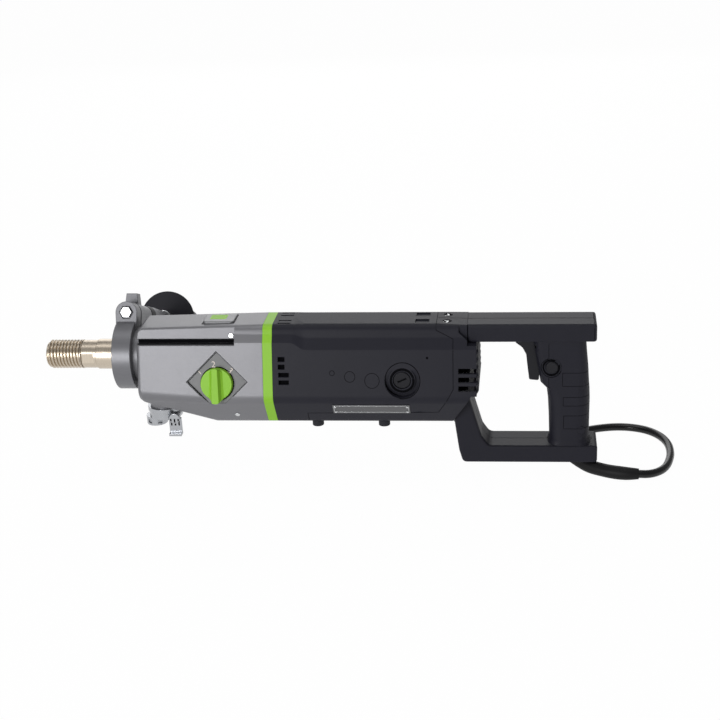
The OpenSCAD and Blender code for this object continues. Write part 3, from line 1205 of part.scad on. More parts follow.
gear_case();
bearing_plate();
end_flange();
green_band();
motor_housing();
rear_cap();
handle_left_shell();
handle_right_shell();
dial_plate();
gear_knob();
top_badge();
rating_plate();
screws_and_rivets();
feet();
spindle();
spindle_gears();
outer_races();
spindle_inner_races();
layshaft_inner_races();
armature_inner_races();
idler_bushes();
water_seals();
layshaft();
first_gear();
third_gear();
shift_collar();
shift_fork();
fork_rod();
idler_shaft();
idler_gear();
armature_shaft();
armature_core();
commutator();
cooling_fan();
stator_core();
field_coils();
brush_holders();
carbon_brushes();
brush_springs();
brush_caps();
trigger();
lock_button();
switch_module();
control_module();
clamp_ring();
clamp_bolt();
handle_stem();
hand_guard();
side_grip();
water_valve();
valve_lever();
cord_sleeve();
power_cord();
cord_coil();
coil_tie();
plug_body();
plug_pins();
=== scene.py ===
"""A hand-held diamond core drill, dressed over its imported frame. Lengths are in metres."""
import json
import math

import bmesh
import bpy
import numpy as np
from mathutils import Matrix, Vector
from mathutils.bvhtree import BVHTree

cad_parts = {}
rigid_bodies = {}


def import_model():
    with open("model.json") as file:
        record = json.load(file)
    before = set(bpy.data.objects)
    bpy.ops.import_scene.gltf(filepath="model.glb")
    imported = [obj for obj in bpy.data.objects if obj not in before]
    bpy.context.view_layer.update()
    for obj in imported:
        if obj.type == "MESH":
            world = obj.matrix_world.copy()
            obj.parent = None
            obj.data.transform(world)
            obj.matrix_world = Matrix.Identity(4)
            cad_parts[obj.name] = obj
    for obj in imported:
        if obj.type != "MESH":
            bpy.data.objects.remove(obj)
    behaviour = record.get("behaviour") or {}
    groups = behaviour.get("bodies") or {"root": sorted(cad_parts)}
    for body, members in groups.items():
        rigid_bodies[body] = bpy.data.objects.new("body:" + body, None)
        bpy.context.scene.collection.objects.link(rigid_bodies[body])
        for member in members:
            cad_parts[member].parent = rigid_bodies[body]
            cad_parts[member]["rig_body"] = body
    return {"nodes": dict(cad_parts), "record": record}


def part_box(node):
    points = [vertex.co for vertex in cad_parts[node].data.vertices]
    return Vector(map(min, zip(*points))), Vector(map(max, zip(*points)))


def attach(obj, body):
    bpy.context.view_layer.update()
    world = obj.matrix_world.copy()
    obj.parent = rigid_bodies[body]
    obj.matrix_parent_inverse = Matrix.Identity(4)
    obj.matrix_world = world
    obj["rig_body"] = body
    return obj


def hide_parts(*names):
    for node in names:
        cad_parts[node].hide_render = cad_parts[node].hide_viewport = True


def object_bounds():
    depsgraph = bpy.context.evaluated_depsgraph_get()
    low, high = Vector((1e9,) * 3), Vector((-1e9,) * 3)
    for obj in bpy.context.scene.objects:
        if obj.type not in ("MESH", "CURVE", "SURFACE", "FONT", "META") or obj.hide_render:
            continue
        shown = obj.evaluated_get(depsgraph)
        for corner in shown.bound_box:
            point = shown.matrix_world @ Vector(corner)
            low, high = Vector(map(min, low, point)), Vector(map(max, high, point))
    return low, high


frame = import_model()
CAD_BOX = [list(corner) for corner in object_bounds()]
MM = 0.001


# Camera, floor and light

def aim(location, pitch, roll, yaw):
    """A camera's place and turn: level and looking along +Y, then yawed, pitched and rolled."""
    level = Matrix(((1, 0, 0), (0, 0, -1), (0, 1, 0)))
    turned = (Matrix.Rotation(math.radians(yaw), 3, "Z") @ level
              @ Matrix.Rotation(math.radians(pitch), 3, "X")
              @ Matrix.Rotation(math.radians(roll), 3, "Z"))
    return Matrix.Translation(location) @ turned.to_4x4()


camera_data = bpy.data.cameras.new("photographer")
SENSOR_MM, FOCAL_PX, PHOTO_PX = 36.0, 1353.66, 720.0
camera_data.sensor_width = SENSOR_MM
camera_data.lens = FOCAL_PX * SENSOR_MM / PHOTO_PX
camera_data.shift_x = -0.1
camera_data.clip_end = 50.0
camera = bpy.data.objects.new("photographer", camera_data)
camera.matrix_world = aim((0.49271, -1.36605, 0.54785), -22.0796, -1.7282, 4.4374)
bpy.context.scene.collection.objects.link(camera)
bpy.context.scene.camera = camera


# Surfaces

def link(mesh, name, material=None):
    """A mesh as an object in the scene, smooth, with one material."""
    thing = bpy.data.objects.new(name, mesh)
    bpy.context.scene.collection.objects.link(thing)
    mesh.shade_smooth()
    if material is not None:
        mesh.materials.clear()
        mesh.materials.append(material)
    return thing


def grid(name, P, material, around=True, caps=True, sharp=None):
    """A surface through a grid of points P[i, j]; j runs round it when around is true.
    Each square of neighbours is a face, and caps closes both ends with one flat face."""
    rows, cols = P.shape[:2]
    i = np.arange(rows - 1)[:, None]
    j = np.arange(cols if around else cols - 1)[None, :]
    k = (j + 1) % cols
    quads = np.stack([i * cols + j, i * cols + k, (i + 1) * cols + k, (i + 1) * cols + j], -1)
    faces = quads.reshape(-1, 4).tolist()
    if caps and around:
        faces += [list(range(cols))[::-1], list(range((rows - 1) * cols, rows * cols))]
    mesh = bpy.data.meshes.new(name)
    mesh.from_pydata(P.reshape(-1, 3).tolist(), [], faces)
    mesh.update()
    tidy = bmesh.new()
    tidy.from_mesh(mesh)
    bmesh.ops.remove_doubles(tidy, verts=tidy.verts, dist=1e-7)
    bmesh.ops.recalc_face_normals(tidy, faces=tidy.faces)
    tidy.to_mesh(mesh)
    tidy.free()
    thing = link(mesh, name, material)
    if sharp:
        mesh.set_sharp_from_angle(angle=math.radians(sharp))
    return thing


def along_x(profile, steps, radius=None, centre=(0.0, 0.0)):
    """Points of a turned piece about a line along X: profile rows are (x, r), turned round the
    line in equal steps. radius may change r by (x, angle)."""
    profile = np.asarray(profile, float)
    a = np.linspace(0, 2 * np.pi, steps, endpoint=False)[None, :]
    x, r = profile[:, :1], profile[:, 1:2]
    r = np.repeat(r, steps, 1) if radius is None else radius(x, r, a)
    return np.stack([np.repeat(x, steps, 1), centre[0] + r * np.cos(a),
                     centre[1] + r * np.sin(a)], -1) * MM


def smooth_line(points, step):
    """A Catmull-Rom line through the points, sampled again at even steps of its length."""
    p = np.asarray(points, float)
    p = np.vstack([2 * p[0] - p[1], p, 2 * p[-1] - p[-2]])
    t = np.linspace(0, 1, 24, endpoint=False)[None, :, None]
    a, b, c, d = p[:-3, None], p[1:-2, None], p[2:-1, None], p[3:, None]
    fine = 0.5 * (2 * b + (c - a) * t + (2 * a - 5 * b + 4 * c - d) * t ** 2
                  + (3 * b - a - 3 * c + d) * t ** 3)
    fine = np.vstack([fine.reshape(-1, 3), p[-2]])
    run = np.concatenate([[0], np.cumsum(np.linalg.norm(np.diff(fine, axis=0), axis=1))])
    marks = np.linspace(0, run[-1], max(3, int(round(run[-1] / step)) + 1))
    return np.stack([np.interp(marks, run, fine[:, k]) for k in range(3)], 1)


def tube(points, radii, sides):
    """Points of a round tube along a line, its rings square to the line and hung from level."""
    p = np.asarray(points, float)
    ahead = np.gradient(p, axis=0)
    ahead /= np.linalg.norm(ahead, axis=1)[:, None]
    side = np.cross(ahead, [0.0, 0.0, 1.0])
    side /= np.linalg.norm(side, axis=1)[:, None]
    up = np.cross(side, ahead)
    a = np.linspace(0, 2 * np.pi, sides, endpoint=False)[None, :, None]
    r = np.broadcast_to(np.asarray(radii, float), (len(p),))[:, None, None]
    return (p[:, None] + r * (np.cos(a) * up[:, None] + np.sin(a) * side[:, None])) * MM


# Finishes

def finish(name, colour, metallic=0.0, roughness=0.5, grain=1500.0, depth=0.00002,
           change=0.06, edge=0.0006, wear=0.25, specular=0.5, rings=None):
    """A finish from three layers: the colour drifts with a broad noise, a fine noise stands up
    as the grain and shifts the roughness, and edges, found by a rounded normal, show wear."""
    material = bpy.data.materials.new(name)
    material.use_nodes = True
    nodes, links = material.node_tree.nodes, material.node_tree.links
    shader = nodes["Principled BSDF"]
    shader.inputs["Metallic"].default_value = metallic
    shader.inputs["Specular IOR Level"].default_value = specular
    place = nodes.new("ShaderNodeTexCoord")
    broad = nodes.new("ShaderNodeTexNoise")
    broad.inputs["Scale"].default_value = 38.0
    broad.inputs["Detail"].default_value = 4.0
    links.new(place.outputs["Object"], broad.inputs["Vector"])
    fine = nodes.new("ShaderNodeTexNoise")
    fine.inputs["Scale"].default_value = grain
    fine.inputs["Detail"].default_value = 2.0
    links.new(place.outputs["Object"], fine.inputs["Vector"])
    tint = nodes.new("ShaderNodeMix")
    tint.data_type = "RGBA"
    tint.inputs["A"].default_value = [c * (1 - change) for c in colour] + [1]
    tint.inputs["B"].default_value = [min(1, c * (1 + change)) for c in colour] + [1]
    links.new(broad.outputs["Fac"], tint.inputs["Factor"])
    gloss = nodes.new("ShaderNodeMapRange")
    gloss.inputs["From Min"].default_value = 0.3
    gloss.inputs["From Max"].default_value = 0.7
    gloss.inputs["To Min"].default_value = roughness * 0.88
    gloss.inputs["To Max"].default_value = min(1.0, roughness * 1.14)
    links.new(fine.outputs["Fac"], gloss.inputs["Value"])
    links.new(gloss.outputs["Result"], shader.inputs["Roughness"])
    rounded = nodes.new("ShaderNodeBevel")
    rounded.samples = 4
    rounded.inputs["Radius"].default_value = edge
    bump = nodes.new("ShaderNodeBump")
    bump.inputs["Strength"].default_value = 1.0
    bump.inputs["Distance"].default_value = depth
    if rings:
        stretch = nodes.new("ShaderNodeMapping")
        stretch.inputs["Scale"].default_value = rings
        links.new(place.outputs["Object"], stretch.inputs["Vector"])
        links.new(stretch.outputs["Vector"], fine.inputs["Vector"])
    links.new(fine.outputs["Fac"], bump.inputs["Height"])
    links.new(rounded.outputs["Normal"], bump.inputs["Normal"])
    links.new(bump.outputs["Normal"], shader.inputs["Normal"])
    shape = nodes.new("ShaderNodeNewGeometry")
    turn = nodes.new("ShaderNodeVectorMath")
    turn.operation = "DOT_PRODUCT"
    links.new(rounded.outputs["Normal"], turn.inputs[0])
    links.new(shape.outputs["Normal"], turn.inputs[1])
    worn = nodes.new("ShaderNodeMapRange")
    worn.inputs["From Min"].default_value = 0.99
    worn.inputs["From Max"].default_value = 0.86
    worn.inputs["To Max"].default_value = wear
    links.new(turn.outputs["Value"], worn.inputs["Value"])
    rubbed = nodes.new("ShaderNodeMix")
    rubbed.data_type = "RGBA"
    rubbed.inputs["B"].default_value = [min(1, c * 1.5 + 0.06) for c in colour] + [1]
    links.new(worn.outputs["Result"], rubbed.inputs["Factor"])
    links.new(tint.outputs["Result"], rubbed.inputs["A"])
    links.new(rubbed.outputs["Result"], shader.inputs["Base Color"])
    return material


CAST_GREY = finish("cast_grey", (0.168, 0.168, 0.18), 0.35, 0.4, 1400,
                   0.00002, 0.05, 0.0009, 0.2, 0.4)
CLAMP_GREY = finish("clamp_grey", (0.155, 0.156, 0.168), 0.4, 0.38, 1300,
                    0.00002, 0.05, 0.0008, 0.2, 0.4)
DIAL_GREY = finish("dial_grey", (0.115, 0.116, 0.12), 0.2, 0.45, 1800, 0.00001, 0.04, 0.0007, 0.3)
GREEN = finish("green", (0.235, 0.50, 0.03), 0.0, 0.45, 2500, 0.000005, 0.03, 0.0005, 0.05, 0.25)
BLACK = finish("black_plastic", (0.0125, 0.0125, 0.019), 0.0, 0.5, 1800,
               0.00003, 0.1, 0.0008, 0.06, 0.17)
DARK = finish("dark_plastic", (0.013, 0.013, 0.016), 0.0, 0.48, 2200, 0.00002, 0.1, 0.0006,
              0.06, 0.17)
SOFT_BLACK = finish("soft_black", (0.016, 0.016, 0.021), 0.0, 0.55, 2600, 0.00002, 0.1,
                    0.0006, 0.08, 0.2)
RUBBER = finish("cord_rubber", (0.006, 0.006, 0.007), 0.0, 0.24, 1500, 0.00001, 0.1, 0.0004, 0.05,
                0.3)
NICKEL = finish("nickel_steel", (0.55, 0.48, 0.39), 0.95, 0.3, 60, 0.00002, 0.06, 0.0004, 0.3,
                rings=(40, 0.5, 0.5))
STEEL = finish("gear_steel", (0.42, 0.43, 0.45), 0.95, 0.35, 900, 0.00001, 0.05, 0.0004, 0.2)
BRIGHT = finish("bright_steel", (0.56, 0.57, 0.58), 0.95, 0.24, 1200, 0.000004, 0.04, 0.0004, 0.2)
CHROME = finish("valve_chrome", (0.40, 0.41, 0.43), 0.95, 0.26, 1200, 0.000004, 0.06, 0.0005, 0.2)
BRONZE = finish("bronze", (0.52, 0.38, 0.20), 0.9, 0.38, 900, 0.00001, 0.08, 0.0004, 0.2)
COPPER = finish("copper", (0.55, 0.25, 0.13), 0.7, 0.4, 600, 0.00004, 0.12, 0.0004, 0.1)
ALLOY = finish("inner_alloy", (0.50, 0.51, 0.52), 0.8, 0.42, 900, 0.00003, 0.06, 0.0006, 0.2)
LABEL = finish("label_alloy", (0.095, 0.095, 0.1), 0.5, 0.4, 1500, 0.000004, 0.05, 0.0003, 0.3)
SEAL = finish("seal_rubber", (0.03, 0.026, 0.022), 0.0, 0.6, 900, 0.00002, 0.1, 0.0004, 0.1)
CARBON = finish("carbon", (0.03, 0.03, 0.032), 0.0, 0.6, 1200, 0.00002, 0.1, 0.0003, 0.2)
BRASS = finish("pin_brass", (0.70, 0.55, 0.28), 0.95, 0.25, 900, 0.000004, 0.04, 0.0003, 0.2)
SHADOW = finish("gap_shadow", (0.003, 0.003, 0.004), 0.0, 0.9, 1500, 0.00001, 0.1, 0.0002, 0.0,
                0.05)
SLEEVE = finish("sleeve_rubber", (0.008, 0.0078, 0.0085), 0.0, 0.5, 2400, 0.00003, 0.1, 0.0004, 0.1,
                0.15)
BADGE_GREY = finish("badge_grey", (0.17, 0.172, 0.18), 0.5, 0.36, 1400, 0.00001, 0.05, 0.0007,
                    0.3)
CHALK = finish("digit_paint", (0.72, 0.62, 0.58), 0.0, 0.5, 1500, 0.000004, 0.02, 0.0001, 0.0)

FINISHES = {
    CAST_GREY: "gear_case", CLAMP_GREY: "clamp_ring handle_stem", DIAL_GREY: "dial_plate",
    GREEN: "green_band gear_knob",
    BLACK: "motor_housing rear_cap handle_left_shell handle_right_shell",
    DARK: "brush_caps trigger lock_button cooling_fan switch_module control_module coil_tie",
    SOFT_BLACK: "hand_guard side_grip feet", RUBBER: "cord_sleeve power_cord cord_coil plug_body",
    NICKEL: "spindle",
    STEEL: "spindle_gears outer_races spindle_inner_races layshaft_inner_races "
           "armature_inner_races layshaft shift_collar shift_fork fork_rod idler_shaft idler_gear "
           "armature_shaft armature_core stator_core",
    BRIGHT: "screws_and_rivets clamp_bolt brush_springs", CHROME: "water_valve valve_lever",
    BRONZE: "first_gear third_gear idler_bushes brush_holders",
    COPPER: "commutator field_coils", ALLOY: "bearing_plate end_flange", BADGE_GREY: "top_badge",
    LABEL: "rating_plate", SEAL: "water_seals", CARBON: "carbon_brushes", BRASS: "plug_pins",
}
NODE_FINISH = {node: finish for finish, nodes in FINISHES.items() for node in nodes.split()}
for node, thing in frame["nodes"].items():
    thing.data.materials.clear()
    thing.data.materials.append(NODE_FINISH[node])
BODY_OF = {node: thing["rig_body"] for node, thing in frame["nodes"].items()}


JOIN_WITHIN, FLAT_WITHIN, SHARP_FROM = 2e-6, math.radians(0.4), math.radians(32)
BEVEL_STEPS, FLAT_WEIGHT = 2, 90


def dress(node, bevel):
    """A smooth copy of a CAD node: its triangles joined, flat ones made one face, its edges
    rounded by a bevel of the given width in millimetres. It replaces the node."""
    mesh = frame["nodes"][node].data.copy()
    joined = bmesh.new()
    joined.from_mesh(mesh)
    bmesh.ops.remove_doubles(joined, verts=joined.verts, dist=JOIN_WITHIN)
    bmesh.ops.dissolve_limit(joined, angle_limit=FLAT_WITHIN, verts=joined.verts,
                             edges=joined.edges)
    joined.to_mesh(mesh)
    joined.free()
    thing = link(mesh, node + "_shell", NODE_FINISH[node])
    mesh.set_sharp_from_angle(angle=SHARP_FROM)
    rounding = thing.modifiers.new("edges", "BEVEL")
    rounding.width = bevel * MM
    rounding.segments = BEVEL_STEPS
    rounding.limit_method = "ANGLE"
    rounding.angle_limit = SHARP_FROM
    level = thing.modifiers.new("flat_faces", "WEIGHTED_NORMAL")
    level.keep_sharp = True
    level.weight = FLAT_WEIGHT
    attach(thing, BODY_OF[node])
    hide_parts(node)
    return thing


# Power cord: the route of the solids, in millimetres

CORD_D = 9.0
FLOOR_Z = -137.5
COIL_CENTRE = np.array([300.0, 214.0, FLOOR_Z + 1 + CORD_D / 2])
COIL_R, COIL_PITCH, COIL_TURNS, COIL_LAYERS = 63.0, 9.45, 2.575, 4
SLEEVE_ROUTE = [
    (518, 6, -113), (529, 3, -117.5), (540, -1, -122.5), (550, -7, -127), (560, -14, -129.6),
    (572, -21, -130), (584, -26.5, -130), (598, -30, -130), (612, -31, -130)]
CORD_ROUTE = [
    (612, -31, -130), (623, -29, -131), (634, -21, -132.2), (643, -8, -133), (649, 10, -133),
    (652, 30, -133), (651, 52, -133), (644, 72, -133), (631, 87, -133), (614, 95, -133),
    (596, 97, -133), (578, 94, -133), (558, 87, -133), (538, 79, -133), (518, 72, -133),
    (496, 67, -133), (474, 65, -133), (454, 69, -133), (437, 79, -133), (421, 97, -133),
    (407, 117, -133), (394, 138, -133), (382, 158, -133), (371.5, 179, -132.8),
    (365.4, 193, -132.4), (363.3, 200, -132.1), (363, 205, -132)]
TAIL_ROUTE = [(254, 264, -105.5), (237, 257.5, -110), (220, 250.5, -115), (204, 243.5, -118),
              (194, 239.5, -118.5)]


def coil_line(turns):
    """The coil's line: a spiral that runs in and out again at an even pitch, and climbs one
    cord's height in the half turn in which it turns back."""
    fold = np.mod(turns, 2 * COIL_TURNS)
    inwards = np.minimum(fold, 2 * COIL_TURNS - fold)
    radius = COIL_R - COIL_PITCH * inwards
    rise = sum(np.clip(2 * (turns - n * COIL_TURNS + 0.25), 0, 1) for n in (1, 2, 3))
    a = 2 * np.pi * turns
    return COIL_CENTRE + np.stack([radius * np.cos(a), radius * np.sin(a), COIL_PITCH * rise], -1)


coil_turns = np.linspace(0, COIL_LAYERS * COIL_TURNS, 330)
cord_line = smooth_line(np.vstack([
    SLEEVE_ROUTE[1:-1], CORD_ROUTE, coil_line(coil_turns), TAIL_ROUTE]), 5.0)
power_cord = grid("power_cord_flex", tube(cord_line, CORD_D / 2, 16), RUBBER)
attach(power_cord, "machine")
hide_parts("power_cord", "cord_coil")
sleeve_line = smooth_line(SLEEVE_ROUTE, 2.0)
sleeve_run = np.linspace(0, 1, len(sleeve_line))
sleeve_r = (7.5 - 1.6 * np.clip((sleeve_run - 0.75) * 4, 0, 1) ** 2
            + 0.10 * np.sin(sleeve_run * 320))
sleeve = grid("sleeve_tube", tube(sleeve_line, sleeve_r, 32), SLEEVE, sharp=50)
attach(sleeve, "machine")
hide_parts("cord_sleeve")
cord_tie = dress("coil_tie", 0.4)
plug = dress("plug_body", 0.8)


# Casings

gear_case = dress("gear_case", 0.9)
dress("green_band", 0.3)
motor_housing = dress("motor_housing", 0.7)
rear_cap = dress("rear_cap", 0.7)
left_shell = dress("handle_left_shell", 0.5)
right_shell = dress("handle_right_shell", 0.5)
SMALL_NODES = ("dial_plate gear_knob clamp_ring clamp_bolt handle_stem hand_guard side_grip "
               "trigger lock_button feet water_valve valve_lever brush_caps rating_plate "
               "screws_and_rivets top_badge").split()
small_pieces = {node: dress(node, 0.4) for node in SMALL_NODES}


# Lines and patches laid on the casings

def skin_of(*things):
    """The faces of finished pieces, as trees at which rays are cast."""
    view = bpy.context.evaluated_depsgraph_get()
    return [BVHTree.FromObject(thing, view) for thing in things]


REACH = 0.15  # metres that a ray runs before it counts as a miss
SUNK = -0.25  # height of a strip's hidden edges, in millimetres
RAISED = 0.06  # height of a strip above its skin, in millimetres


def laid(skin, P, ahead, lift, back=30.0, steady=None):
    """The points P moved along the direction ahead until they meet the skin, and raised off it
    by lift. A ray starts the distance back before its point; one that meets nothing stays.
    With steady, a depth stays within that distance of the running median along the rows."""
    way = np.broadcast_to(np.asarray(ahead, float), P.shape)
    way = way / np.linalg.norm(way, axis=-1, keepdims=True)
    start = P - way * back
    depth = []
    for point, step in zip(start.reshape(-1, 3) * MM, way.reshape(-1, 3)):
        hits = [tree.ray_cast(Vector(point), Vector(step), REACH) for tree in skin]
        depth.append(min([hit[3] / MM for hit in hits if hit[0] is not None], default=back))
    depth = np.array(depth).reshape(P.shape[:2])
    if steady:
        middle = np.pad(np.median(depth, axis=1), 3, mode="edge")
        run = np.median(np.lib.stride_tricks.sliding_window_view(middle, 7), axis=1)[:, None]
        depth = np.clip(depth, run - steady, run + steady)
    return (start + way * (depth - lift)[..., None]) * MM


def even(points, step):
    """Points at even steps along the straight runs between the given ones, corners kept."""
    p = np.asarray(points, float)
    runs = [np.linspace(a, b, max(1, round(np.linalg.norm((b - a)[:3]) / step)), endpoint=False)
            for a, b in zip(p[:-1], p[1:])]
    return np.vstack(runs + [p[-1:]])


def ribbon(name, skin, line, ahead, width, body="machine", material=None, high=RAISED,
           back=30.0):
    """A thin strip along a line on the skin: five points across it, of which the outer two are
    sunk and the others stand high above the skin."""
    ahead = np.broadcast_to(np.asarray(ahead, float), np.shape(line))
    both = even(np.hstack([line, ahead]), 1.5)
    line, ahead = both[:, :3], both[:, 3:]
    side = np.cross(np.gradient(line, axis=0), ahead)
    side /= np.linalg.norm(side, axis=1)[:, None]
    across = np.array([-0.5, -0.35, 0.0, 0.35, 0.5])[None, :, None] * width
    P = line[:, None] + across * side[:, None]
    way = np.broadcast_to(ahead[:, None], P.shape)
    lift = np.array([[SUNK, high, high, high, SUNK]])
    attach(grid(name, laid(skin, P, way, lift, back, 0.5), material or SHADOW, around=False), body)


def rosette(name, skin, centre, rows, ahead, steps=48):
    """A round dark patch on the skin about a centre: its rows are (radius, height above it)."""
    out = -np.asarray(ahead, float) / np.linalg.norm(ahead)
    u = np.cross(out, [0.0, 0.0, 1.0] if abs(out[2]) < 0.9 else [0.0, 1.0, 0.0])
    u /= np.linalg.norm(u)
    v = np.cross(out, u)
    a = np.linspace(0, 2 * np.pi, steps, endpoint=False)[None, :, None]
    r = np.array([row[0] for row in rows], float)[:, None, None]
    P = np.asarray(centre, float) + r * (np.cos(a) * u + np.sin(a) * v)
    lift = np.array([row[1] for row in rows], float)[:, None]
    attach(grid(name, laid(skin, P, ahead, lift), SHADOW, caps=False), "machine")


def ring(radius, width):
    """The rows of a flat ring of the given width about a radius, its edges sunk."""
    inner, outer = radius - width / 2, radius + width / 2
    return [(inner, SUNK), (inner, RAISED), (outer, RAISED), (outer, SUNK)]


SHOULDER_Z, BELLY_Z, SHOULDER_HALF, BELLY_GAIN = 17, -36, 33, 14.5


def side_half(z):
    """Half the width of the body between its shoulder and its belly, where it grows evenly."""
    drop = SHOULDER_Z - np.clip(z, BELLY_Z, SHOULDER_Z)
    return SHOULDER_HALF + drop * BELLY_GAIN / (SHOULDER_Z - BELLY_Z)


DOWN, FORWARD, UP = (0, 0, -1), (-1, 0, 0), (0, 0, 1)
BESIDE, OVER, UNDER, OVER_BADGE = 60, 60, -150, 80  # off the body: the points that rays aim from
case_skin = skin_of(gear_case)
body_skin = skin_of(motor_housing, rear_cap)
cap_skin = skin_of(rear_cap)
shell_skin = skin_of(left_shell, right_shell)
handle_skin = shell_skin + cap_skin
dial_skin = skin_of(small_pieces["dial_plate"])
badge_skin = skin_of(small_pieces["top_badge"])

# The seam between the motor housing and the rear cap, in the side view
SEAM_X, SIDE_SEAM_X, TRAY_X = 393.8, 411.8, 252.3
BOSSES = ((281.9, -7, 2.6), (301, -10.9, 5.6), (324.9, -15, 7.8))
BAR_END_X, GRIP_SEAM_X = 561.7, 513.6
SLOT_FRONT, SLOT_REAR = 70, 176.2
SIDES = (("right", -1), ("left", 1))
for hand, side in SIDES:
    inwards = (0, -side, 0)
    seam = [(SEAM_X, 40.5), (SEAM_X, 36), (SIDE_SEAM_X, 27), (SIDE_SEAM_X, -24),
            (SEAM_X + 1, -54), (TRAY_X, -55.6), (TRAY_X, -68.5)]
    ribbon(hand + "_seam", body_skin, [(x, side * BESIDE, z) for x, z in seam], inwards, 0.8)
    # Blanked bosses on the motor housing, and a moulded dot
    for k, (x, z, r) in enumerate(BOSSES):
        rosette("%s_boss_line_%d" % (hand, k), body_skin, (x, side * BESIDE, z), ring(r, 0.55),
                inwards)
    rosette(hand + "_dot", body_skin, (384.2, side * BESIDE, 8.7),
            [(0, 0.08), (1.3, 0.08), (1.3, -0.2)], inwards, steps=24)
    # Moulded lines of the handle: the bar's end and the grip's seam
    for line, x, high_z, low_z in (("_bar_end_line", BAR_END_X, 39.8, 21.2),
                                   ("_grip_seam_upper", GRIP_SEAM_X, 18.5, 1.6),
                                   ("_grip_seam_lower", GRIP_SEAM_X, -21.5, -36)):
        ribbon(hand + line, shell_skin, [(x, side * BESIDE, high_z), (x, side * BESIDE, low_z)],
               inwards, 0.7)
    # The slot under the facet of the gear case lies in shade
    ribbon(hand + "_slot_shade", case_skin,
           [(x, side * BESIDE, 24.2) for x in (SLOT_FRONT, SLOT_REAR)], inwards, 5.4)
    ribbon(hand + "_ledge_shade", case_skin,
           [(x, side * 26.2, 24) for x in (SLOT_FRONT, SLOT_REAR)], DOWN, 5.6, back=1.0)
ribbon("top_seam", body_skin, [(SEAM_X, -21.5, OVER), (SEAM_X, 21.5, OVER)], DOWN, 0.8)
ribbon("bar_end_top_line", shell_skin, [(BAR_END_X, -17.8, OVER), (BAR_END_X, 17.8, OVER)], DOWN,
       0.7)
ribbon("bar_parting_top", handle_skin, [(SEAM_X + 1, 0, OVER), (563, 0, OVER)], DOWN, 0.7)
ribbon("bar_parting_rear", shell_skin, [(600, 0, 39.5), (600, 0, -110)], FORWARD, 0.6)
# The parting line under the lower bar, before and behind the cord's sleeve
for k, run in enumerate(((470, 505), (548, 562))):
    ribbon("bar_parting_under_%d" % k, shell_skin, [(x, 0.3, UNDER) for x in run], UP, 0.6)

# The parting line round the inside of the handle's opening, found from its middle
opening = np.radians(np.linspace(-178, 178, 140))
ways = np.stack([np.cos(opening), 0 * opening, np.sin(opening)], 1)
inner = laid(handle_skin, np.broadcast_to([495.0, 0.3, -38.0], ways.shape)[:, None], ways[:, None],
             0.0, back=0.0)[:, 0] / MM
ribbon("opening_parting", handle_skin, inner, ways, 0.6)

# Outlines of the three grip pads, run round the grip's rear from side to side
GRIP_MID, ROUND_R = 545.0, 40
SWING = np.radians(np.linspace(-90, 90, 25))


def round_grip(z, front_x):
    """A line round the rear of the grip at the height z, with the way to the grip: it begins and
    ends beside the grip at front_x."""
    rear = [(GRIP_MID + ROUND_R * math.cos(a), ROUND_R * math.sin(a), z,
             -math.cos(a), -math.sin(a), 0) for a in SWING]
    return [(front_x, -ROUND_R, z, 0, 1, 0)] + rear + [(front_x, ROUND_R, z, 0, -1, 0)]


GRIP_PADS = ((-15.9, -31.3, 528.4), (-44.4, -54.7, 529.3), (-66.7, -82.3, 530.0))
for k, (high_z, low_z, front_x) in enumerate(GRIP_PADS):
    upper = round_grip(high_z, front_x)
    path = np.array(upper + round_grip(low_z, front_x)[::-1] + upper[:1])
    ribbon("grip_pad_line_%d" % k, shell_skin, path[:, :3], path[:, 3:], 0.7)

# Round the lock button: painted shade on the edges of its recess
LOCK = (516.3, -BESIDE, -9.8)
rosette("lock_recess_inner_shade", shell_skin, LOCK, ring(8.6, 1.8), (0, 1, 0))
rosette("lock_recess_outer_shade", shell_skin, LOCK, ring(11.0, 0.8), (0, 1, 0))

# Round the brush caps: the shaded edge of the recess
BRUSH_X, BRUSH_Z = 357.5, -15.1
for hand, side in SIDES:
    rosette(hand + "_brush_edge", body_skin, (BRUSH_X, side * BESIDE, BRUSH_Z), ring(18.9, 0.9),
            (0, -side, 0))

# The speed dial: painted shade in the gap round its plate, digits, and painted shade in the gap
# round the knob
DIAL = np.array([156.5, -40.0, -19.0])
DIAL_UP, DIAL_OUT = np.array([0, 0.2588, 0.9659]), np.array([0, -0.9659, 0.2588])


DIAL_CORNERS = ((-17.5, -13.5), (-33.2, 2), (0, 35.2), (33.2, 2), (17.5, -13.5))
DIGITS = (("1", -19.4, 12.8, 45), ("2", -3.6, 20.6, 0), ("3", 14.4, 13.8, -40))


def dial(u, v):
    """A point 20 mm off the dial: u to the rear and v up its plate."""
    return DIAL + np.array([u, 0, 0]) + v * DIAL_UP + 20.0 * DIAL_OUT


ribbon("dial_gap_shade", case_skin, [dial(u, v) for u, v in DIAL_CORNERS], -DIAL_OUT, 1.3)
rosette("knob_gap_shade", dial_skin, dial(0, 0), ring(18.0, 1.2), -DIAL_OUT)
upright = Matrix(((1, 0, 0), tuple(DIAL_UP), tuple(DIAL_OUT))).transposed().to_4x4()
for digit, u, v, turn in DIGITS:
    text = bpy.data.curves.new("digit_" + digit, "FONT")
    text.body, text.size, text.extrude = digit, 0.0095, 0.00005
    text.align_x, text.align_y = "CENTER", "CENTER"
    drawn = bpy.data.objects.new("digit_" + digit, text)
    mesh = bpy.data.meshes.new_from_object(drawn)
    bpy.data.objects.remove(drawn)
    face = laid(dial_skin, dial(u, v)[None, None], -DIAL_OUT, 0.05)[0, 0]
    mesh.transform(Matrix.Translation(face) @ upright
                   @ Matrix.Rotation(math.radians(turn), 4, "Z"))
    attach(link(mesh, "dial_digit_" + digit, CHALK), "machine")
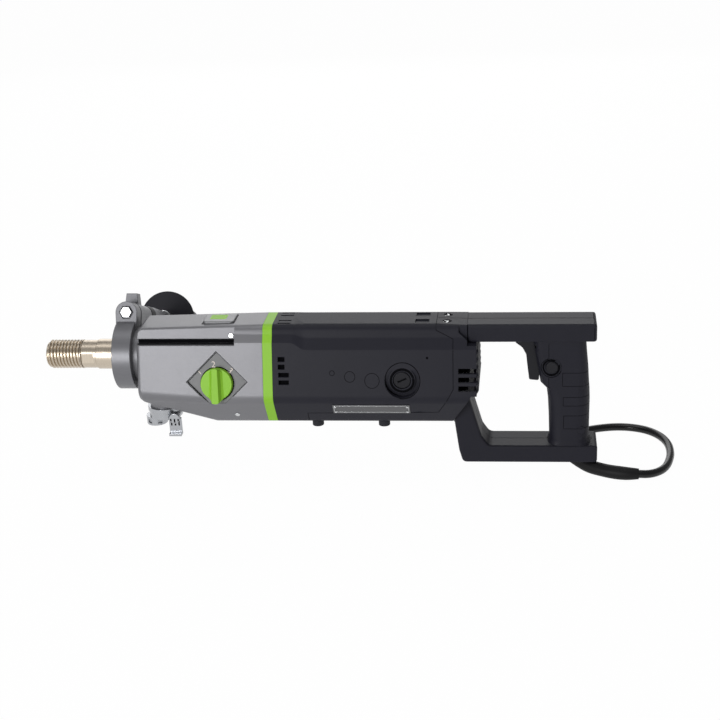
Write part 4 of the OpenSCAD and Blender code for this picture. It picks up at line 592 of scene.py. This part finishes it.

# The badge: a blank green label on its top and painted shade in the gap round its tray
badge_low, badge_high = (np.array(corner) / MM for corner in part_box("top_badge"))
bx0, by0, bx1, by1 = badge_low[0], badge_low[1], badge_high[0], badge_high[1]
round_badge = [(bx0 - 0.4, by0 + 3), (bx0 - 0.4, by0 - 0.4), (bx1 + 0.4, by0 - 0.4),
               (bx1 + 0.4, by1 + 0.4), (bx0 - 0.4, by1 + 0.4), (bx0 - 0.4, by0 + 3)]
ribbon("badge_gap_shade", case_skin, [(x, y, OVER_BADGE) for x, y in round_badge], DOWN, 1.8)
label = np.stack(np.meshgrid(np.linspace(bx0 + 5, bx1 - 8, 8), np.linspace(by0 + 7, by1 - 3, 8),
                             indexing="ij") + [np.full((8, 8), float(OVER_BADGE))], -1)
label_lift = np.full((8, 8), 0.12)
label_lift[[0, -1]] = label_lift[:, [0, -1]] = -0.1
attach(grid("badge_label", laid(badge_skin, label, DOWN, label_lift), GREEN, around=False),
        "machine")

# The rating plate's pale border
plate_skin = skin_of(small_pieces["rating_plate"])
plate_low, plate_high = (np.array(corner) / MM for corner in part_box("rating_plate"))
px0, px1 = plate_low[0] + 1.6, plate_high[0] - 1.6
pz0, pz1 = plate_low[2] + 1.8, plate_high[2] - 1.8
plate_mid = (px0, (pz0 + pz1) / 2)
round_plate = [plate_mid, (px0, pz1), (px1, pz1), (px1, pz0), (px0, pz0), plate_mid]
ribbon("plate_border", plate_skin, [(x, -BESIDE, z) for x, z in round_plate], (0, 1, 0), 0.6,
       material=BRIGHT, high=0.03)

# Louvres on the rear of the cap: level ribs, each a half wave that stands out behind it
CAP_REAR, RIB_TOP, RIB_LOW, RIB_OUT, RIBS = 436.8, 18.5, -30.0, 2.4, 6
t = np.linspace(0, 1, 12 * RIBS + 1)[None, :]
rib_z = RIB_LOW + (RIB_TOP - RIB_LOW) * t
across = np.linspace(-1, 1, 30)[:, None]
wave = np.mod(t * RIBS, 1.0)
swell = np.where(wave < 0.78, np.sin(np.pi * np.clip(wave / 0.78, 0, 1)) ** 0.6, 0.0) * RIB_OUT
ends = np.clip((1 - np.abs(across)) * 12, 0, 1)
louvres = np.stack([CAP_REAR - 0.2 + swell * ends, across * (side_half(rib_z) - 1.5),
                    np.repeat(rib_z, 30, 0)], -1) * MM
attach(grid("rear_louvres", louvres, BLACK, around=False), "machine")

# A baffle behind each side's vents keeps the light of the far side out; it is a sheet of painted
# shade
for hand, side in SIDES:
    x, z = np.meshgrid(np.linspace(221, 243, 12), np.linspace(-27, 13, 30), indexing="ij")
    y = side * (side_half(z) - 4.3 + 0.2 * np.cos(z))
    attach(grid(hand + "_vent_shade_baffle", np.stack([x, y, z], -1) * MM, SHADOW, around=False),
            "machine")

# Dark rings round the heads of the cap's top screws, for their black heads and painted shade in
# their recesses, and a baffle under the top vents, a sheet of painted shade
top_skin = body_skin + skin_of(small_pieces["screws_and_rivets"])
for k, y in enumerate((-9.5, 9.5)):
    rosette("top_screw_oxide_and_shade_ring_%d" % k, top_skin, (405.5, y, OVER),
            [(1.5, -0.3), (1.5, 0.1), (4.3, 0.1), (4.3, -0.3)], DOWN)
x, y = np.meshgrid(np.linspace(221, 243, 12), np.linspace(-19, 19, 20), indexing="ij")
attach(grid("top_vent_shade_baffle", np.stack([x, y, 37.0 + 0.2 * np.cos(y)], -1) * MM, SHADOW,
             around=False), "machine")

# The brush caps: painted shade in a ring round each and in the slot across it
tilt = math.radians(25)
slot_half = np.array([math.cos(tilt), 0, math.sin(tilt)]) * 5.4
for hand, side in SIDES:
    near = body_skin + skin_of(small_pieces["brush_caps"])
    rosette(hand + "_brush_gap_shade", near, (BRUSH_X - 0.3, side * BESIDE, BRUSH_Z - 0.3),
            ring(12.2, 2.6), (0, -side, 0))
    cap_middle = np.array([BRUSH_X, side * BESIDE, BRUSH_Z])
    ribbon(hand + "_brush_slot_shade", near, [cap_middle - slot_half, cap_middle + slot_half],
           (0, -side, 0), 1.5)

# A dark collar round the side handle's stem, on the axis that its grip turns about
# in the record. The collar's rows are (distance from the clamp's middle plane, radius)
JOINT_AT = 153.5
COLLAR = np.array([(49.0, 9.8), (49.3, 10.3), (50.2, 10.45), (65.0, 10.45), (65.9, 10.3),
                   (66.2, 9.8)])
grip_turn = next(joint for joint in frame["record"]["behaviour"]["joints"]
                 if joint["name"] == "grip_turn")
axis = np.array(grip_turn["axis"], float)
axis = axis * np.sign(axis[1])
foot = np.array(grip_turn["pos_m"], float) / MM - JOINT_AT * axis
sideways = np.cross(axis, (1.0, 0.0, 0.0))
a = np.linspace(0, 2 * np.pi, 64, endpoint=False)[None, :, None]
P = foot + COLLAR[:, 0, None, None] * axis + COLLAR[:, 1, None, None] * (
    np.cos(a) * np.array([1.0, 0, 0]) + np.sin(a) * sideways)
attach(grid("stem_collar", P * MM, DARK, caps=False), BODY_OF["handle_stem"])

# Three grooves across the valve lever's shoulder, painted as dark shade
lever_skin = skin_of(small_pieces["valve_lever"])
for k in range(3):
    x = 95.8 + 4.2 * k
    ribbon("lever_groove_shade_%d" % k, lever_skin, [(x, -BESIDE, -69), (x, -BESIDE, -78)], (0, 1, 0),
           2.3, body=BODY_OF["valve_lever"])


# Spindle: its tip is at THREAD_TIP and its land starts at 0

THREAD_TIP, THREAD_PITCH, THREAD_R, THREAD_ROOT = -38.8, 3.629, 15.875, 13.0
THREAD_DEPTH, CUT_FLAT, BORE_LIMIT = 2.25, 0.74, 12


def threaded(x, r, a):
    """The radius r with a thread of the named pitch cut into it, 60 degrees wide and flat at its
    crest and root, fading out at the land."""
    phase = np.mod(x / THREAD_PITCH - a / (2 * np.pi), 1.0)
    cut = np.clip((0.42 - np.abs(phase - 0.5)) * 2.6, 0, CUT_FLAT)
    inside = (x < -0.8) & (x > THREAD_TIP + 0.01) & (r > BORE_LIMIT)
    depth = np.where(inside, THREAD_DEPTH * cut / CUT_FLAT, 0.0)
    return np.where(r > BORE_LIMIT, np.minimum(np.maximum(r - depth, THREAD_ROOT), r), r)


def flats(x, r, a):
    """The threaded radius, cut by two flats that face the sides along the land."""
    r = threaded(x, np.repeat(r, a.shape[1], 1), a)
    reach = 14.3 / np.maximum(np.abs(np.cos(a)), 1e-6)
    return np.where((x > 1.0) & (x < 14.6), np.minimum(r, reach), r)


thread_x = np.linspace(THREAD_TIP, 0.0, 270)
thread_r = np.minimum(THREAD_R, 13.075 + (thread_x - THREAD_TIP))
spindle_profile = np.vstack([
    [[-19.0, 6.0], [-19.0, 9.3], [-37.9, 9.3], [THREAD_TIP, 10.1]],
    np.stack([thread_x, thread_r], 1),
    [[0.02, 13.7], [0.6, 13.7], [0.62, 15.2], [0.95, 15.5], [1.05, 15.5], [14.55, 15.5],
     [14.65, 15.5], [17.2, 15.5], [17.3, 16.1], [17.8, 16.6], [46.5, 16.6], [46.5, 17.5],
     [99.2, 17.5], [99.2, 12.0], [178.06, 12.0], [178.06, 10.0], [186.06, 10.0], [186.06, 6.0]]])
spindle = grid("threaded_spindle", along_x(spindle_profile, 144, flats), NICKEL, sharp=30)
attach(spindle, "spindle")
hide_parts("spindle")


# World, floor and lamps

def lamp(name, place, target, size, power):
    """A square soft box that faces its target."""
    data = bpy.data.lights.new(name, "AREA")
    data.shape, data.size, data.energy = "SQUARE", size, power
    thing = bpy.data.objects.new(name, data)
    thing.location = place
    thing.rotation_euler = (Vector(target) - Vector(place)).to_track_quat("-Z", "Y").to_euler()
    bpy.context.scene.collection.objects.link(thing)


middle = Vector((0.28, 0.0, -0.03))
lamp("overhead_box", (0.2, -0.1, 1.9), middle, 1.4, 12)
lamp("front_box", (-0.5, -1.9, 0.4), middle, 0.9, 24)
lamp("rear_box", (0.1, 2.3, 1.0), middle, 2.0, 22)

world = bpy.data.worlds.new("studio")
bpy.context.scene.world = world
world.use_nodes = True
sky = world.node_tree.nodes["Background"]
sky.inputs["Color"].default_value = (1, 1, 1, 1)
sky.inputs["Strength"].default_value = 0.3

floor_mesh = bpy.data.meshes.new("studio_floor")
FLOOR_HALF, FLOOR_DROP = 9, 0.0004
low = CAD_BOX[0][2] - FLOOR_DROP
corners = [(x * FLOOR_HALF, y * FLOOR_HALF, low) for x, y in ((-1, -1), (1, -1), (1, 1), (-1, 1))]
floor_mesh.from_pydata(corners, [], [(0, 1, 2, 3)])
floor_material = bpy.data.materials.new("floor_white")
floor_material.use_nodes = True
nodes, links = floor_material.node_tree.nodes, floor_material.node_tree.links
matte = nodes["Principled BSDF"]
matte.inputs["Base Color"].default_value = (0.86, 0.86, 0.86, 1)
matte.inputs["Roughness"].default_value = 0.9
matte.inputs["Specular IOR Level"].default_value = 0.1
glow = nodes.new("ShaderNodeEmission")
glow.inputs["Color"].default_value = (1, 1, 1, 1)
seen = nodes.new("ShaderNodeLightPath")
either = nodes.new("ShaderNodeMath")
either.operation = "MAXIMUM"
share = nodes.new("ShaderNodeMath")
share.operation = "MULTIPLY"
share.inputs[1].default_value = 0.98
blend = nodes.new("ShaderNodeMixShader")
links.new(seen.outputs["Is Camera Ray"], either.inputs[0])
links.new(seen.outputs["Is Glossy Ray"], either.inputs[1])
links.new(either.outputs[0], share.inputs[0])
links.new(share.outputs[0], blend.inputs["Fac"])
links.new(matte.outputs[0], blend.inputs[1])
links.new(glow.outputs[0], blend.inputs[2])
links.new(blend.outputs[0], nodes["Material Output"].inputs["Surface"])
floor = bpy.data.objects.new("studio_floor", floor_mesh)
floor_mesh.materials.append(floor_material)
bpy.context.scene.collection.objects.link(floor)
bpy.context.scene.view_settings.view_transform = "Standard"
